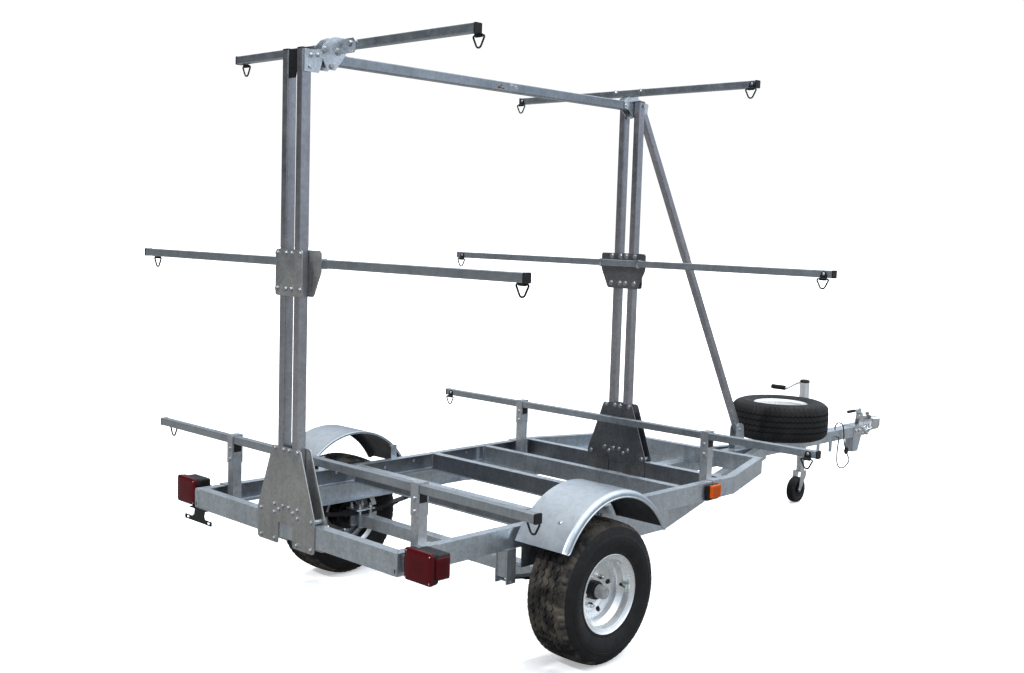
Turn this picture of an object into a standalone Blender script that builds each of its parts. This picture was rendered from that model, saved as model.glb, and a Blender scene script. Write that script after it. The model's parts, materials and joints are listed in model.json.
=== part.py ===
"""Two-wheeled kayak trailer with two masts, three tiers of load bars and a swing-up jack.

Metres, +Z up, +Y towards the coupler, +X to the right. The layout is drawn with y = 0 at the
rear face of the rear lower load bar, and an empty shifts it so that the origin lies under the
middle of the trailer, on the ground.
"""
import math

import bmesh
import bpy
from mathutils import Matrix, Vector

# Clearance between pieces that touch, and the running clearance of a pin in its hole
GAP = 0.0003
VENT_R = 0.004

# Ladder frame: pressed channels
FRAME_BOTTOM = 0.428
CHANNEL_HIGH = 0.076
CHANNEL_FLANGE = 0.038
CHANNEL_WALL = 0.0032
RAIL_HALF = 0.604
RAIL_BEND_Y = 1.79
RAIL_SLOPE = 0.34
RAIL_FRONT_Y = 2.273
INNER_CROSSMEMBERS_Y = (0.635, 1.085, 1.410)
FRONT_CROSSMEMBER_Y = 2.235

# Masts: two tubes side by side, standing on a crossmember
REAR_MAST_Y = -0.1205
FRONT_MAST_Y = 1.720
MAST_DEEP = 0.038
MAST_WIDE = 0.032
MAST_INNER_HALF = 0.0257
MAST_TOP = 2.133
TUBE_WALL = 0.0025
CAP_THICK = 0.003

# Bolts
BOLT_R = 0.004
HEAD_R = 0.0075
HEAD_HIGH = 0.0055
HEAD_SINK = 0.0007

# Base plates that clamp each mast to its crossmember
PLATE = 0.0042
BASE_BOTTOM = 0.404
BASE_TOP = 0.755
BASE_HALF = 0.170
BASE_TOP_HALF = 0.087
BASE_SHOULDER_Z = 0.520
BASE_CORNER = 0.012
NOTCH_HALF = 0.043
NOTCH_TOP = 0.481
BASE_BOLTS = ((0.0665, 0.745), (0.0175, 0.543), (0.150, 0.515), (0.0665, 0.418), (0.148, 0.418))

# Middle brackets
MID_PLATE_TOP = 1.448
MID_PLATE_BOTTOM = 1.287
MID_NARROW_HALF = 0.078
MID_WIDE_HALF = 0.128
MID_WIDE_FOOT_HALF = 0.088
MID_WIDE_SHOULDER_Z = 1.375
MID_BOLTS = ((0.067, 1.4345), (0.067, 1.3105))
MID_STRAP_X = 0.108
MID_STRAP_WIDE = 0.012
MID_STRAP_THICK = 0.003

# Load bars: square tubes with end caps and a clip for a lashing ring near each end
BAR = 0.030
BAR_WALL = 0.002
LOWER_BAR_HALF = 1.080
LOWER_BAR_TOP = 0.704
LOWER_BAR_REAR_Y = 0.0
LOWER_BAR_FRONT_Y = 1.633
MID_BAR_HALF = 1.0775
MID_BAR_TOP = 1.418
TOP_BAR_HALF = 0.675
TOP_BAR_RISE = 0.053
TOP_BAR_REAR_Y = 0.089
TOP_BAR_FRONT_Y = 1.699

# Lashing rings and their clips
RING_HALF = 0.028
RING_DROP = 0.043
RING_WIRE_R = 0.003
RING_BOTTOM_R = 0.013
RING_TOP_R = 0.005
RING_INSET = 0.040
RING_INSET_TOP = 0.020
CLIP_HALF = 0.015
CLIP_THICK = 0.003
CLIP_HIGH = 0.027
EYE_R = 0.0062
EYE_STANDOFF = 0.0008
EYE_DROP = 0.0017

# Risers under the lower bars
RISER_INSET = 0.077
RISER_POST = 0.038
RISER_BOTTOM = 0.440
STRAP = 0.005
STRAP_BOTTOM = 0.598
STRAP_HALF = 0.019
STRAP_BOLTS_Z = (0.655, 0.6125)
FOOT_WIDE = 0.055
FOOT_PLATE = 0.004
FOOT_BOTTOM = 0.433

# Spreader between the mast heads, and the brace down to the tongue
SPREADER = 0.038
SPREADER_DROP = 0.003
SPREADER_REAR_Y = 0.0
SPREADER_FRONT_Y = 1.681
FLANGE_ABOVE = 0.006
FLANGE_HIGH = 0.051
BRACE = 0.032
BRACE_TOP_Y = 1.800
BRACE_PIN_DROP = 0.017
BRACE_FOOT_YZ = (2.724, 0.533)
BRACE_OVERRUN = 0.028

# Sub-frame arms and tongue
ARM_REAR_Y = 0.455
ARM_BEND_Y = 1.300
ARM_FRONT_Y = 2.960
TONGUE_HALF = 0.038
TONGUE_HIGH = 0.060
TONGUE_REAR_Y = 1.700
TONGUE_FRONT_Y = 4.085
TONGUE_DROP = 0.0005
TONGUE_WALL = 0.003

# Axle, springs and wheels
TYRE_R = 0.2605
TYRE_HALF = 0.1025
WHEEL_OUT = 0.133
WHEEL_Y = 0.684
WHEEL_STEPS = 28
RIM_STEPS = 16
AXLE = 0.050
AXLE_WALL = 0.005
AXLE_OUT = 0.026
SPINDLE_R = 0.0135
SPRING_INSET = 0.019
SPRING_WIDE = 0.045
LEAF = 0.006
LEAF_COUNT = 3
SPRING_HALF = 0.290
SPRING_RISE = 0.024
SPRING_SEAT_HALF = 0.050
EYE_OUTER = 0.0135
PIN_R = 0.0075
CHEEK = 0.005
HANGER_HALF_LONG = 0.022
RIM_BEAD_R = 0.127
RIM_FLANGE_R = 0.1445
RIM_HALF = 0.088
RIM_WELL_R = 0.108
RIM_SHEET = 0.003
HUB_R = 0.034
LUG_CIRCLE_R = 0.0572
LUG_COUNT = 5
DISC_STEP_R = 0.080
RIM_TURN = 0.12
HAND_HOLE_CIRCLE_R = 0.089
HAND_HOLE_R = 0.010
CENTRE_HOLE_R = 0.036
CAP_R = 0.024
HUB_BACK = 0.090
SPINDLE_END = 0.033

# Fenders
FENDER_R = 0.318
FENDER_Z = 0.322
FENDER_CHORD_HALF = 0.285
FENDER_STANDOFF = 0.016
FENDER_WIDE = 0.235
FENDER_SHEET = 0.002
FENDER_SHOULDER = 0.017
FENDER_SKIRT = 0.028
FENDER_STEPS = 15
FENDER_STAY_Y = 0.200

# Lights
TAIL_OUT = 0.086
TAIL_WIDE = 0.130
TAIL_BOTTOM = 0.427
TAIL_TOP = 0.532
TAIL_REAR_Y = -0.108
TAIL_DEEP = 0.078
LENS_BULGE = 0.007
MARKER_REAR_Y = 1.565
MARKER_FRONT_Y = 1.660
MARKER_BOTTOM = 0.430
MARKER_TOP = 0.495
MARKER_DEEP = 0.024

# Spare wheel, lying flat on a pedestal
SPARE_Y = 3.1435
SPARE_BOTTOM = 0.448
PEDESTAL_HALF = 0.030

# Coupler and its latch lever
COUPLER_REAR_Y = 3.930
COUPLER_NOSE_Y = 4.288
COUPLER_WALL = 0.004
NOSE_R = 0.038
NOSE_BOTTOM = 0.398
NOSE_TOP = 0.458
SOCKET_R = 0.0255
SOCKET_TOP = 0.440
LEVER_YZ = (4.062, 0.494)
LEVER_PIN_R = 0.004
LEVER_GRIP_REAR_Y = 3.915
LEVER_GRIP_FRONT_Y = 4.000
LEVER_GRIP_R = 0.009
LEVER_HALF = 0.010
EAR = 0.004

# Swing-up jack on the left of the tongue
JACK_X = -0.115
JACK_Y = 3.595
JACK_TUBE_R = 0.028
JACK_TUBE_BOTTOM = 0.270
JACK_TUBE_TOP = 0.720
JACK_LEG_R = 0.023
JACK_LEG_WALL = 0.003
JACK_LEG_BOTTOM = 0.184
JACK_LEG_TOP = 0.600
JACK_BOSS_R = 0.022
JACK_SWIVEL_PIN_R = 0.010
JACK_FLANGE = 0.006
JACK_PLATE_REAR = 0.089
JACK_PLATE_FRONT = 0.079
CRANK_Z = 0.698
CRANK_R = 0.006
CRANK_ARM_Y = 0.105
CRANK_DROP = 0.026
CRANK_GRIP_LONG = 0.095
CRANK_GRIP_R = 0.0125
CASTER_R = 0.075
CASTER_WIDE = 0.045
CASTER_TRAIL = 0.040
FORK = 0.004
FORK_SIDE_GAP = 0.0005
CASTER_PIN_R = 0.006
STEM_R = 0.010

# Harness cord: its route by hand, from the top of the tongue to its right side
CORD_R = 0.0022
CORD_POINTS = 46
PLUG_HALF = 0.017
PLUG_BORE_GAP = 0.0011
PLUG_LONG = 0.030

# Worked out from the sizes above
FRAME_TOP = FRAME_BOTTOM + CHANNEL_HIGH
RISER_INNER = RAIL_HALF - RISER_INSET
WHEEL_X = RAIL_HALF + WHEEL_OUT
AXLE_HALF = RAIL_HALF + AXLE_OUT
SPRING_X = RAIL_HALF - SPRING_INSET
FENDER_INNER = RAIL_HALF + FENDER_STANDOFF
FENDER_OUTER = FENDER_INNER + FENDER_WIDE
TAIL_X = RAIL_HALF + TAIL_OUT
SPREADER_TOP = MAST_TOP - SPREADER_DROP
TOP_BAR_TOP = SPREADER_TOP + TOP_BAR_RISE
ARM_TOP = FRAME_BOTTOM - GAP
ARM_BOTTOM = ARM_TOP - CHANNEL_HIGH
TONGUE_TOP = ARM_TOP - TONGUE_DROP
TONGUE_BOTTOM = TONGUE_TOP - TONGUE_HIGH
MAST_OUTER = MAST_INNER_HALF + MAST_WIDE
SPRING_SEAT = TYRE_R + AXLE / 2 + GAP
SPRING_PACK = LEAF * LEAF_COUNT
EYE_Z = SPRING_SEAT + SPRING_PACK - LEAF / 2 + SPRING_RISE + LEAF
EYE_Y = WHEEL_Y + SPRING_HALF
SPARE_Z = SPARE_BOTTOM + TYRE_HALF
JACK_PIVOT_Z = (TONGUE_TOP + TONGUE_BOTTOM) / 2
REAR_END_Y = REAR_MAST_Y - GAP - PLATE - HEAD_HIGH
MIDDLE_Y = (REAR_END_Y + COUPLER_NOSE_Y) / 2

STEEL = ("galvanised_steel", (0.60, 0.63, 0.65), 0.42, 0.9)
BRIGHT = ("bright_zinc", (0.72, 0.74, 0.76), 0.30, 0.9)
BLACK_STEEL = ("black_steel", (0.03, 0.03, 0.032), 0.5, 0.2)
BLACK_PLASTIC = ("black_plastic", (0.02, 0.02, 0.022), 0.5, 0.0)
RUBBER = ("tyre_rubber", (0.025, 0.025, 0.026), 0.75, 0.0)
RED_LENS = ("red_lens", (0.55, 0.02, 0.03), 0.2, 0.0)
AMBER_LENS = ("amber_lens", (0.85, 0.30, 0.03), 0.2, 0.0)
AXES = {"X": Vector((1, 0, 0)), "Y": Vector((0, 1, 0)), "Z": Vector((0, 0, 1))}


def clear_scene():
    """Remove whatever the scene holds."""
    for item in list(bpy.data.objects):
        bpy.data.objects.remove(item, do_unlink=True)


def material(finish):
    """Return the Principled material of a finish, made once."""
    name, colour, roughness, metallic = finish
    if name in bpy.data.materials:
        return bpy.data.materials[name]
    made = bpy.data.materials.new(name)
    made.use_nodes = True
    shader = made.node_tree.nodes["Principled BSDF"]
    shader.inputs["Base Color"].default_value = (*colour, 1.0)
    shader.inputs["Roughness"].default_value = roughness
    shader.inputs["Metallic"].default_value = metallic
    return made


def solid(bm):
    """Turn a bmesh into an object with outward faces."""
    bmesh.ops.recalc_face_normals(bm, faces=bm.faces[:])
    mesh = bpy.data.meshes.new("solid")
    bm.to_mesh(mesh)
    bm.free()
    made = bpy.data.objects.new("solid", mesh)
    bpy.context.collection.objects.link(made)
    return made


def box(x, y, z):
    """A box between two values on each axis."""
    bm = bmesh.new()
    bmesh.ops.create_cube(bm, size=1.0)
    bmesh.ops.scale(bm, vec=(x[1] - x[0], y[1] - y[0], z[1] - z[0]), verts=bm.verts[:])
    middle = ((x[0] + x[1]) / 2, (y[0] + y[1]) / 2, (z[0] + z[1]) / 2)
    bmesh.ops.translate(bm, vec=middle, verts=bm.verts[:])
    return solid(bm)


def place(axis, along, first, second):
    """A point from its place along an axis and its two other values, in X, Y, Z order."""
    return {"X": (along, first, second), "Y": (first, along, second), "Z": (first, second, along)}[axis]


def prism(axis, outline, low, high):
    """An outline in the two other axes, extruded along an axis."""
    bm = bmesh.new()
    face = bm.faces.new([bm.verts.new(place(axis, low, a, b)) for a, b in outline])
    grown = bmesh.ops.extrude_face_region(bm, geom=[face])["geom"]
    moved = [item for item in grown if isinstance(item, bmesh.types.BMVert)]
    bmesh.ops.translate(bm, vec=AXES[axis] * (high - low), verts=moved)
    return solid(bm)


def rod(axis, first, second, radius, low, high, sides=12, tip_radius=None):
    """A round or, with few sides, a hexagonal rod along an axis."""
    bm = bmesh.new()
    tip = radius if tip_radius is None else tip_radius
    bmesh.ops.create_cone(bm, cap_ends=True, segments=sides, radius1=radius, radius2=tip, depth=high - low)
    turn = AXES["Z"].rotation_difference(AXES[axis]).to_matrix()
    bmesh.ops.rotate(bm, cent=(0, 0, 0), matrix=turn, verts=bm.verts[:])
    bmesh.ops.translate(bm, vec=place(axis, (low + high) / 2, first, second), verts=bm.verts[:])
    return solid(bm)


def bore_radius(pin_radius, sides):
    """The corner radius of a faceted bore whose flats clear a turning pin by the gap."""
    return (pin_radius + GAP) / math.cos(math.pi / sides)


def beam(start, end, radius, sides=8):
    """A round rod between two points."""
    start, end = Vector(start), Vector(end)
    bm = bmesh.new()
    bmesh.ops.create_cone(bm, cap_ends=True, segments=sides, radius1=radius, radius2=radius,
                          depth=(end - start).length)
    turn = AXES["Z"].rotation_difference(end - start).to_matrix()
    bmesh.ops.rotate(bm, cent=(0, 0, 0), matrix=turn, verts=bm.verts[:])
    bmesh.ops.translate(bm, vec=(start + end) / 2, verts=bm.verts[:])
    return solid(bm)


def turned(axis, centre, profile, steps, closed=True):
    """A profile of (radius, place along the axis) spun into a ring, or a plug that meets the axis."""
    bm = bmesh.new()
    radial = AXES["Z"] if axis != "Z" else AXES["X"]
    verts = [bm.verts.new(Vector(centre) + radial * r + AXES[axis] * s) for r, s in profile]
    ends = verts[1:] + verts[:1] if closed else verts[1:]
    edges = [bm.edges.new(pair) for pair in zip(verts, ends)]
    bmesh.ops.spin(bm, geom=verts + edges, cent=centre, axis=AXES[axis], angle=math.tau,
                   steps=steps, use_merge=True)
    bmesh.ops.remove_doubles(bm, verts=bm.verts[:], dist=1e-6)
    half_step = Matrix.Rotation(math.pi / steps, 3, axis)
    bmesh.ops.rotate(bm, cent=centre, matrix=half_step, verts=bm.verts[:])
    return solid(bm)


def sweep(path, section):
    """A section of (offset to the left, z) carried along a path in plan, with mitred corners."""
    bm = bmesh.new()
    points = [Vector(point) for point in path]
    rings = []
    for index, point in enumerate(points):
        before = points[max(index - 1, 0)]
        after = points[min(index + 1, len(points) - 1)]
        steps = [(b - a).normalized() for a, b in ((before, point), (point, after)) if (b - a).length > 0]
        normals = [Vector((-step.y, step.x)) for step in steps]
        mitre = sum(normals, Vector((0, 0))).normalized()
        mitre = mitre / mitre.dot(normals[0])
        rings.append([bm.verts.new((point.x + mitre.x * off, point.y + mitre.y * off, z)) for off, z in section])
    for ring, following in zip(rings, rings[1:]):
        for index in range(len(section)):
            other = (index + 1) % len(section)
            bm.faces.new((ring[index], ring[other], following[other], following[index]))
    bm.faces.new(rings[0])
    bm.faces.new(rings[-1])
    return solid(bm)


def arc_sheet(centre, section, half_angle, steps):
    """A section of (x, radius) carried round the X axis through the top of an arc."""
    bm = bmesh.new()
    start = Matrix.Rotation(-half_angle, 3, "X")
    verts = [bm.verts.new(Vector((x, centre[0], centre[1])) + start @ Vector((0, 0, r))) for x, r in section]
    face = bm.faces.new(verts)
    bmesh.ops.spin(bm, geom=verts + list(face.edges) + [face], cent=(0, centre[0], centre[1]),
                   axis=AXES["X"], angle=2 * half_angle, steps=steps)
    bmesh.ops.remove_doubles(bm, verts=bm.verts[:], dist=1e-6)
    return solid(bm)


def combine(base, others, operation):
    """Join pieces to a solid, or cut them from it, and bake the result."""
    for other in others:
        step = base.modifiers.new("combine", "BOOLEAN")
        step.operation = operation
        step.solver = "EXACT"
        step.object = other
    bpy.context.view_layer.update()
    graph = bpy.context.evaluated_depsgraph_get()
    baked = bpy.data.meshes.new_from_object(base.evaluated_get(graph))
    base.modifiers.clear()
    base.data = baked
    for other in others:
        bpy.data.objects.remove(other, do_unlink=True)
    return base


def join(base, *others):
    """Union."""
    return combine(base, others, "UNION")


def cut(base, *others):
    """Difference."""
    return combine(base, others, "DIFFERENCE")


def mirrored(source, keep=False):
    """The left-hand twin of a right-hand solid, in its place or beside it."""
    bm = bmesh.new()
    bm.from_mesh(source.data)
    bmesh.ops.scale(bm, vec=(-1, 1, 1), verts=bm.verts[:])
    bmesh.ops.reverse_faces(bm, faces=bm.faces[:])
    if not keep:
        bpy.data.objects.remove(source, do_unlink=True)
    return solid(bm)


def moved(source, x=0.0, y=0.0, z=0.0):
    """Shift a solid's mesh."""
    source.data.transform(Matrix.Translation((x, y, z)))
    return source


def publish(made, name, finish, trailer, pivot=(0, 0, 0)):
    """Name a finished piece, give it its material and put its origin on its pivot."""
    if made.type == "MESH":
        made.data.transform(Matrix.Translation(-Vector(pivot)))
        made.data.shade_smooth()
        made.data.set_sharp_from_angle(angle=math.radians(35))
    made.location = pivot
    made.name = name
    made.data.name = name
    made.data.materials.clear()
    made.data.materials.append(material(finish))
    made.parent = trailer
    return made


def channel_section(bottom, top):
    """A channel with its web at offset 0 and its flanges to the left of the path."""
    inner, lip = CHANNEL_WALL, CHANNEL_FLANGE
    return ((0, bottom), (lip, bottom), (lip, bottom + inner), (inner, bottom + inner),
            (inner, top - inner), (lip, top - inner), (lip, top), (0, top))


def tube(axis, first, second, low, high, wall, close_low=False, close_high=False):
    """A rectangular tube along an axis, with either end capped."""
    sides = {"X": ((low, high), first, second), "Y": (first, (low, high), second),
             "Z": (first, second, (low, high))}[axis]
    past = 0.01
    inner_low = low + CAP_THICK if close_low else low - past
    inner_high = high - CAP_THICK if close_high else high + past
    hollow = [(pair[0] + wall, pair[1] - wall) for pair in (first, second)]
    void = {"X": ((inner_low, inner_high), hollow[0], hollow[1]),
            "Y": (hollow[0], (inner_low, inner_high), hollow[1]),
            "Z": (hollow[0], hollow[1], (inner_low, inner_high))}[axis]
    return cut(box(*sides), box(*void))


def head(axis, first, second, face, outward):
    """A hexagonal bolt head or nut standing on a face."""
    sink = HEAD_SINK
    low, high = sorted((face - outward * sink, face + outward * HEAD_HIGH))
    return rod(axis, first, second, HEAD_R, low, high, sides=6)


def bolt(axis, first, second, low, high):
    """A through bolt with a head at each end, standing on the faces at low and high."""
    sink = HEAD_SINK
    profile = [(0.0, low - HEAD_HIGH), (HEAD_R, low - HEAD_HIGH), (HEAD_R, low + sink), (BOLT_R, low + sink),
               (BOLT_R, high - sink), (HEAD_R, high - sink), (HEAD_R, high + HEAD_HIGH), (0.0, high + HEAD_HIGH)]
    return [turned(axis, place(axis, 0.0, first, second), profile, 6, closed=False)]


def bolt_hole(axis, first, second, low, high):
    """Cutter for a bolt's clearance hole."""
    past = 0.01
    radius = (BOLT_R + GAP) / math.cos(math.pi / 6)
    return rod(axis, first, second, radius, low - past, high + past, sides=6)


def ladder_frame():
    """Two side rails bent in at the front, with six crossmembers between them."""
    section = channel_section(FRAME_BOTTOM, FRAME_TOP)
    inset = RAIL_HALF - RAIL_SLOPE * (RAIL_FRONT_Y - RAIL_BEND_Y)
    rear = REAR_MAST_Y
    rail_rear = rear + CHANNEL_WALL
    right = sweep(((RAIL_HALF, rail_rear), (RAIL_HALF, RAIL_BEND_Y), (inset, RAIL_FRONT_Y)), section)
    pieces = [mirrored(right, keep=True)]
    reach = RAIL_HALF - CHANNEL_FLANGE + 0.002
    pieces.append(sweep(((-RAIL_HALF, rear), (RAIL_HALF, rear)), section))
    for y in INNER_CROSSMEMBERS_Y + (FRONT_MAST_Y,):
        pieces.append(sweep(((-reach, y), (reach, y)), section))
    front_reach = RAIL_HALF - RAIL_SLOPE * (FRONT_CROSSMEMBER_Y - RAIL_BEND_Y) - CHANNEL_FLANGE + 0.002
    pieces.append(sweep(((-front_reach, FRONT_CROSSMEMBER_Y), (front_reach, FRONT_CROSSMEMBER_Y)), section))
    hanger_y = WHEEL_Y - SPRING_HALF
    for side in (-1, 1):
        pieces += hanger(side * SPRING_X, hanger_y, FRAME_BOTTOM, slipper=True)
    return join(right, *pieces)


def hanger(x, y, top, slipper):
    """Cheeks that carry one end of a leaf spring, with an eye pin or a slipper pad and keeper bolt."""
    inner = SPRING_WIDE / 2 + 0.0015
    outer = inner + CHEEK
    below = 0.024
    overlap = 0.002
    pieces = [box((x - outer, x + outer), (y - HANGER_HALF_LONG, y + HANGER_HALF_LONG), (top - CHEEK, top + overlap))]
    for side in (-1, 1):
        near, far = sorted((x + side * inner, x + side * outer))
        pieces.append(box((near, far), (y - HANGER_HALF_LONG, y + HANGER_HALF_LONG), (EYE_Z - below, top)))
    if slipper:
        leaf_top = EYE_Z - LEAF / 2 - GAP
        pieces.append(box((x - outer, x + outer), (y - 0.018, y + 0.018), (leaf_top + 2 * GAP, top)))
        keeper = leaf_top - LEAF - 0.008
        pieces.append(rod("X", y, keeper, BOLT_R, x - outer - HEAD_HIGH, x + outer + HEAD_HIGH, sides=8))
    else:
        pieces.append(rod("X", y, EYE_Z, PIN_R, x - outer - HEAD_HIGH, x + outer + HEAD_HIGH, sides=12))
    return pieces


def drawbar():
    """Sub-frame arms that run in to a square tongue, with all that is bolted under and on it."""
    section = channel_section(ARM_BOTTOM, ARM_TOP)
    tip = RAIL_HALF - RAIL_SLOPE * (ARM_FRONT_Y - ARM_BEND_Y)
    right = sweep(((RAIL_HALF, ARM_REAR_Y), (RAIL_HALF, ARM_BEND_Y), (tip, ARM_FRONT_Y)), section)
    half, wall = TONGUE_HALF, TONGUE_WALL
    tongue = box((-half, half), (TONGUE_REAR_Y, TONGUE_FRONT_Y), (TONGUE_BOTTOM, TONGUE_TOP))
    body = join(tongue, mirrored(right, keep=True), right)
    past = 0.01
    body = cut(body, box((-half + wall, half - wall), (TONGUE_REAR_Y - past, TONGUE_FRONT_Y + past),
                         (TONGUE_BOTTOM + wall, TONGUE_TOP - wall)))
    pieces = []
    for side in (-1, 1):
        pieces += hanger(side * SPRING_X, EYE_Y, ARM_BOTTOM, slipper=False)
    pieces += brace_foot() + pedestal() + jack_boss() + stand_plates()
    return join(body, *pieces)


def brace_foot():
    """Two cheeks on the tongue with the bolt that holds the brace's lower end."""
    y, z = BRACE_FOOT_YZ
    near, far = BRACE / 2 + GAP, BRACE / 2 + GAP + PLATE
    sink = 0.001
    cheek = ((y - 0.042, TONGUE_TOP - sink), (y + 0.050, TONGUE_TOP - sink), (y + 0.030, z + 0.020),
             (y + 0.012, z + 0.032), (y - 0.014, z + 0.032), (y - 0.032, z + 0.016))
    pieces = [prism("X", cheek, near, far), prism("X", cheek, -far, -near)]
    pieces.append(box((-far, far), (y - 0.042, y + 0.050), (TONGUE_TOP - sink, TONGUE_TOP + PLATE)))
    return pieces + bolt("X", y, z, -far, far)


def pedestal():
    """The post and plate that carry the spare wheel's disc."""
    top = SPARE_Z - RIM_SHEET / 2 - GAP
    sink = 0.001
    plate_half = 0.072
    post = box((-PEDESTAL_HALF, PEDESTAL_HALF), (SPARE_Y - PEDESTAL_HALF, SPARE_Y + PEDESTAL_HALF),
               (TONGUE_TOP - sink, top - PLATE / 2))
    plate = rod("Z", 0, SPARE_Y, plate_half, top - PLATE, top, sides=16)
    pieces = [post, plate]
    for index in (0, 2):
        x, y = around("Z", (0, SPARE_Y, SPARE_Z), lug_angle(index), LUG_CIRCLE_R)
        pieces.append(rod("Z", x, y, BOLT_R, top - sink, top + 0.025, sides=6))
    return pieces


def lug_angle(index):
    """Where one of the wheel's lug holes lies on its circle."""
    return math.tau * (index + 0.5) / LUG_COUNT + RIM_TURN


def jack_boss():
    """A side plate, a boss and a pivot pin for the jack, and two clamp tabs below the tongue."""
    sink = 0.001
    side = -TONGUE_HALF
    boss_end = JACK_X + JACK_TUBE_R + JACK_FLANGE
    plate = box((side - 0.006, side + sink), (JACK_Y - JACK_PLATE_REAR, JACK_Y + JACK_PLATE_FRONT),
                (TONGUE_BOTTOM - 0.004, TONGUE_TOP))
    boss = rod("X", JACK_Y, JACK_PIVOT_Z, JACK_BOSS_R, boss_end + GAP, side, sides=16)
    pin = rod("X", JACK_Y, JACK_PIVOT_Z, JACK_SWIVEL_PIN_R, boss_end - JACK_FLANGE + 2 * GAP, boss_end + 0.002)
    pieces = [plate, boss, pin]
    tab_half, tab_long, tab_thick = 0.014, 0.058, 0.006
    for y in (JACK_Y - JACK_PLATE_REAR + tab_half, JACK_Y + JACK_PLATE_FRONT - tab_half):
        pieces.append(box((TONGUE_HALF - tab_thick, TONGUE_HALF), (y - tab_half, y + tab_half),
                          (TONGUE_BOTTOM - tab_long, TONGUE_BOTTOM + sink)))
    return pieces


def stand_plates():
    """The angle that hangs under the tongue behind the coupler."""
    rear, bottom, sink, sheet = 3.927, 0.278, 0.001, 0.004
    top = TONGUE_BOTTOM + sink
    gusset = ((rear, top), (rear + 0.100, top), (rear + 0.062, bottom), (rear, bottom))
    return [box((-0.014, TONGUE_HALF), (rear, rear + sheet), (bottom, top)),
            prism("X", gusset, TONGUE_HALF - sheet, TONGUE_HALF)]


def mast_tube(rear_y, side):
    """One tube of a mast, capped on top and drilled for the bolts that cross it."""
    low, high = sorted((side * MAST_INNER_HALF, side * MAST_OUTER))
    body = tube("Z", (low, high), (rear_y, rear_y + MAST_DEEP), FRAME_TOP + GAP, MAST_TOP, TUBE_WALL,
                close_high=True)
    holes = [bolt_hole("X", y, z, low, high) for y, z in mast_cross_bolts(rear_y)]
    return cut(body, *holes)


def mast_cross_bolts(rear_y):
    """Where bolts cross a mast's tubes: (y, z)."""
    if rear_y == REAR_MAST_Y:
        return ((rear_y + MAST_DEEP - 0.008, MAST_TOP - 0.063),)
    return ((rear_y + MAST_DEEP - 0.011, MAST_TOP - 0.021),)


def mast_base(rear_y):
    """A pair of plates clamped round a crossmember and a mast's foot by through bolts."""
    corner = BASE_CORNER
    outline = ((NOTCH_HALF, NOTCH_TOP), (NOTCH_HALF, BASE_BOTTOM), (BASE_HALF - corner, BASE_BOTTOM),
               (BASE_HALF, BASE_BOTTOM + corner), (BASE_HALF, BASE_SHOULDER_Z),
               (BASE_TOP_HALF, BASE_TOP - corner), (BASE_TOP_HALF - corner, BASE_TOP))
    full = outline + tuple((-x, z) for x, z in reversed(outline))
    rear_face = rear_y - GAP - PLATE
    front_face = rear_y + MAST_DEEP + GAP + PLATE
    rear = prism("Y", full, rear_face, rear_face + PLATE)
    front = prism("Y", full, front_face - PLATE, front_face)
    pieces = [front]
    for x, z in BASE_BOLTS:
        for side in (-1, 1):
            pieces += bolt("Y", side * x, z, rear_face, front_face)
    return join(rear, *pieces)


def mid_bracket(rear_y, facing):
    """A narrow and a wide plate clamped round a mast, with straps that hold the middle bar."""
    narrow = ((-MID_NARROW_HALF, MID_PLATE_BOTTOM), (MID_NARROW_HALF, MID_PLATE_BOTTOM),
              (MID_NARROW_HALF, MID_PLATE_TOP), (-MID_NARROW_HALF, MID_PLATE_TOP))
    half, foot = MID_WIDE_HALF, MID_WIDE_FOOT_HALF
    wide = ((-foot, MID_PLATE_BOTTOM), (foot, MID_PLATE_BOTTOM), (half, MID_WIDE_SHOULDER_Z),
            (half, MID_PLATE_TOP), (-half, MID_PLATE_TOP), (-half, MID_WIDE_SHOULDER_Z))
    rear_face = rear_y - GAP - PLATE
    front_face = rear_y + MAST_DEEP + GAP + PLATE
    outlines = (narrow, wide) if facing > 0 else (wide, narrow)
    body = prism("Y", outlines[0], rear_face, rear_face + PLATE)
    pieces = [prism("Y", outlines[1], front_face - PLATE, front_face)]
    for x, z in MID_BOLTS:
        for side in (-1, 1):
            pieces += bolt("Y", side * x, z, rear_face, front_face)
    bar_near = front_face + GAP if facing > 0 else rear_face - GAP
    seat = bar_near - facing * (GAP + 0.001)
    bar_far = bar_near + facing * (BAR + GAP)
    outer = bar_far + facing * MID_STRAP_THICK
    over, under = MID_BAR_TOP + GAP, MID_BAR_TOP - BAR - GAP
    strap = ((seat, over), (bar_far, over), (bar_far, under), (seat, under), (seat, under - MID_STRAP_THICK),
             (outer, under - MID_STRAP_THICK), (outer, over + MID_STRAP_THICK), (seat, over + MID_STRAP_THICK))
    for side in (-1, 1):
        x = side * MID_STRAP_X - MID_STRAP_WIDE / 2
        pieces.append(prism("X", strap, x, x + MID_STRAP_WIDE))
    return join(body, *pieces)


def load_bar(half, top, rear_y, ring_side, inset, bolt_holes=()):
    """A square tube with end caps and, near each end, a clip with an eye for a lashing ring."""
    y, z = (rear_y, rear_y + BAR), (top - BAR, top)
    body = tube("X", y, z, -half, half, BAR_WALL, close_low=True, close_high=True)
    middle = rear_y + BAR / 2
    vents = [rod("Z", side * (half - 0.12), middle, VENT_R, top - BAR - 0.01, top - BAR / 2, sides=6)
             for side in (-1, 1)]
    vents += [bolt_hole("Y", x, z_hole, rear_y, rear_y + BAR) for x, z_hole in bolt_holes]
    body = cut(body, *vents)
    face = rear_y + BAR if ring_side > 0 else rear_y
    pieces = []
    for side in (-1, 1):
        pieces += clip(side * (half - inset), face, ring_side, top - BAR)
    return cut(join(body, *pieces), *[eye_hole(side * (half - inset), face, ring_side, top - BAR)
                                      for side in (-1, 1)])


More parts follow.
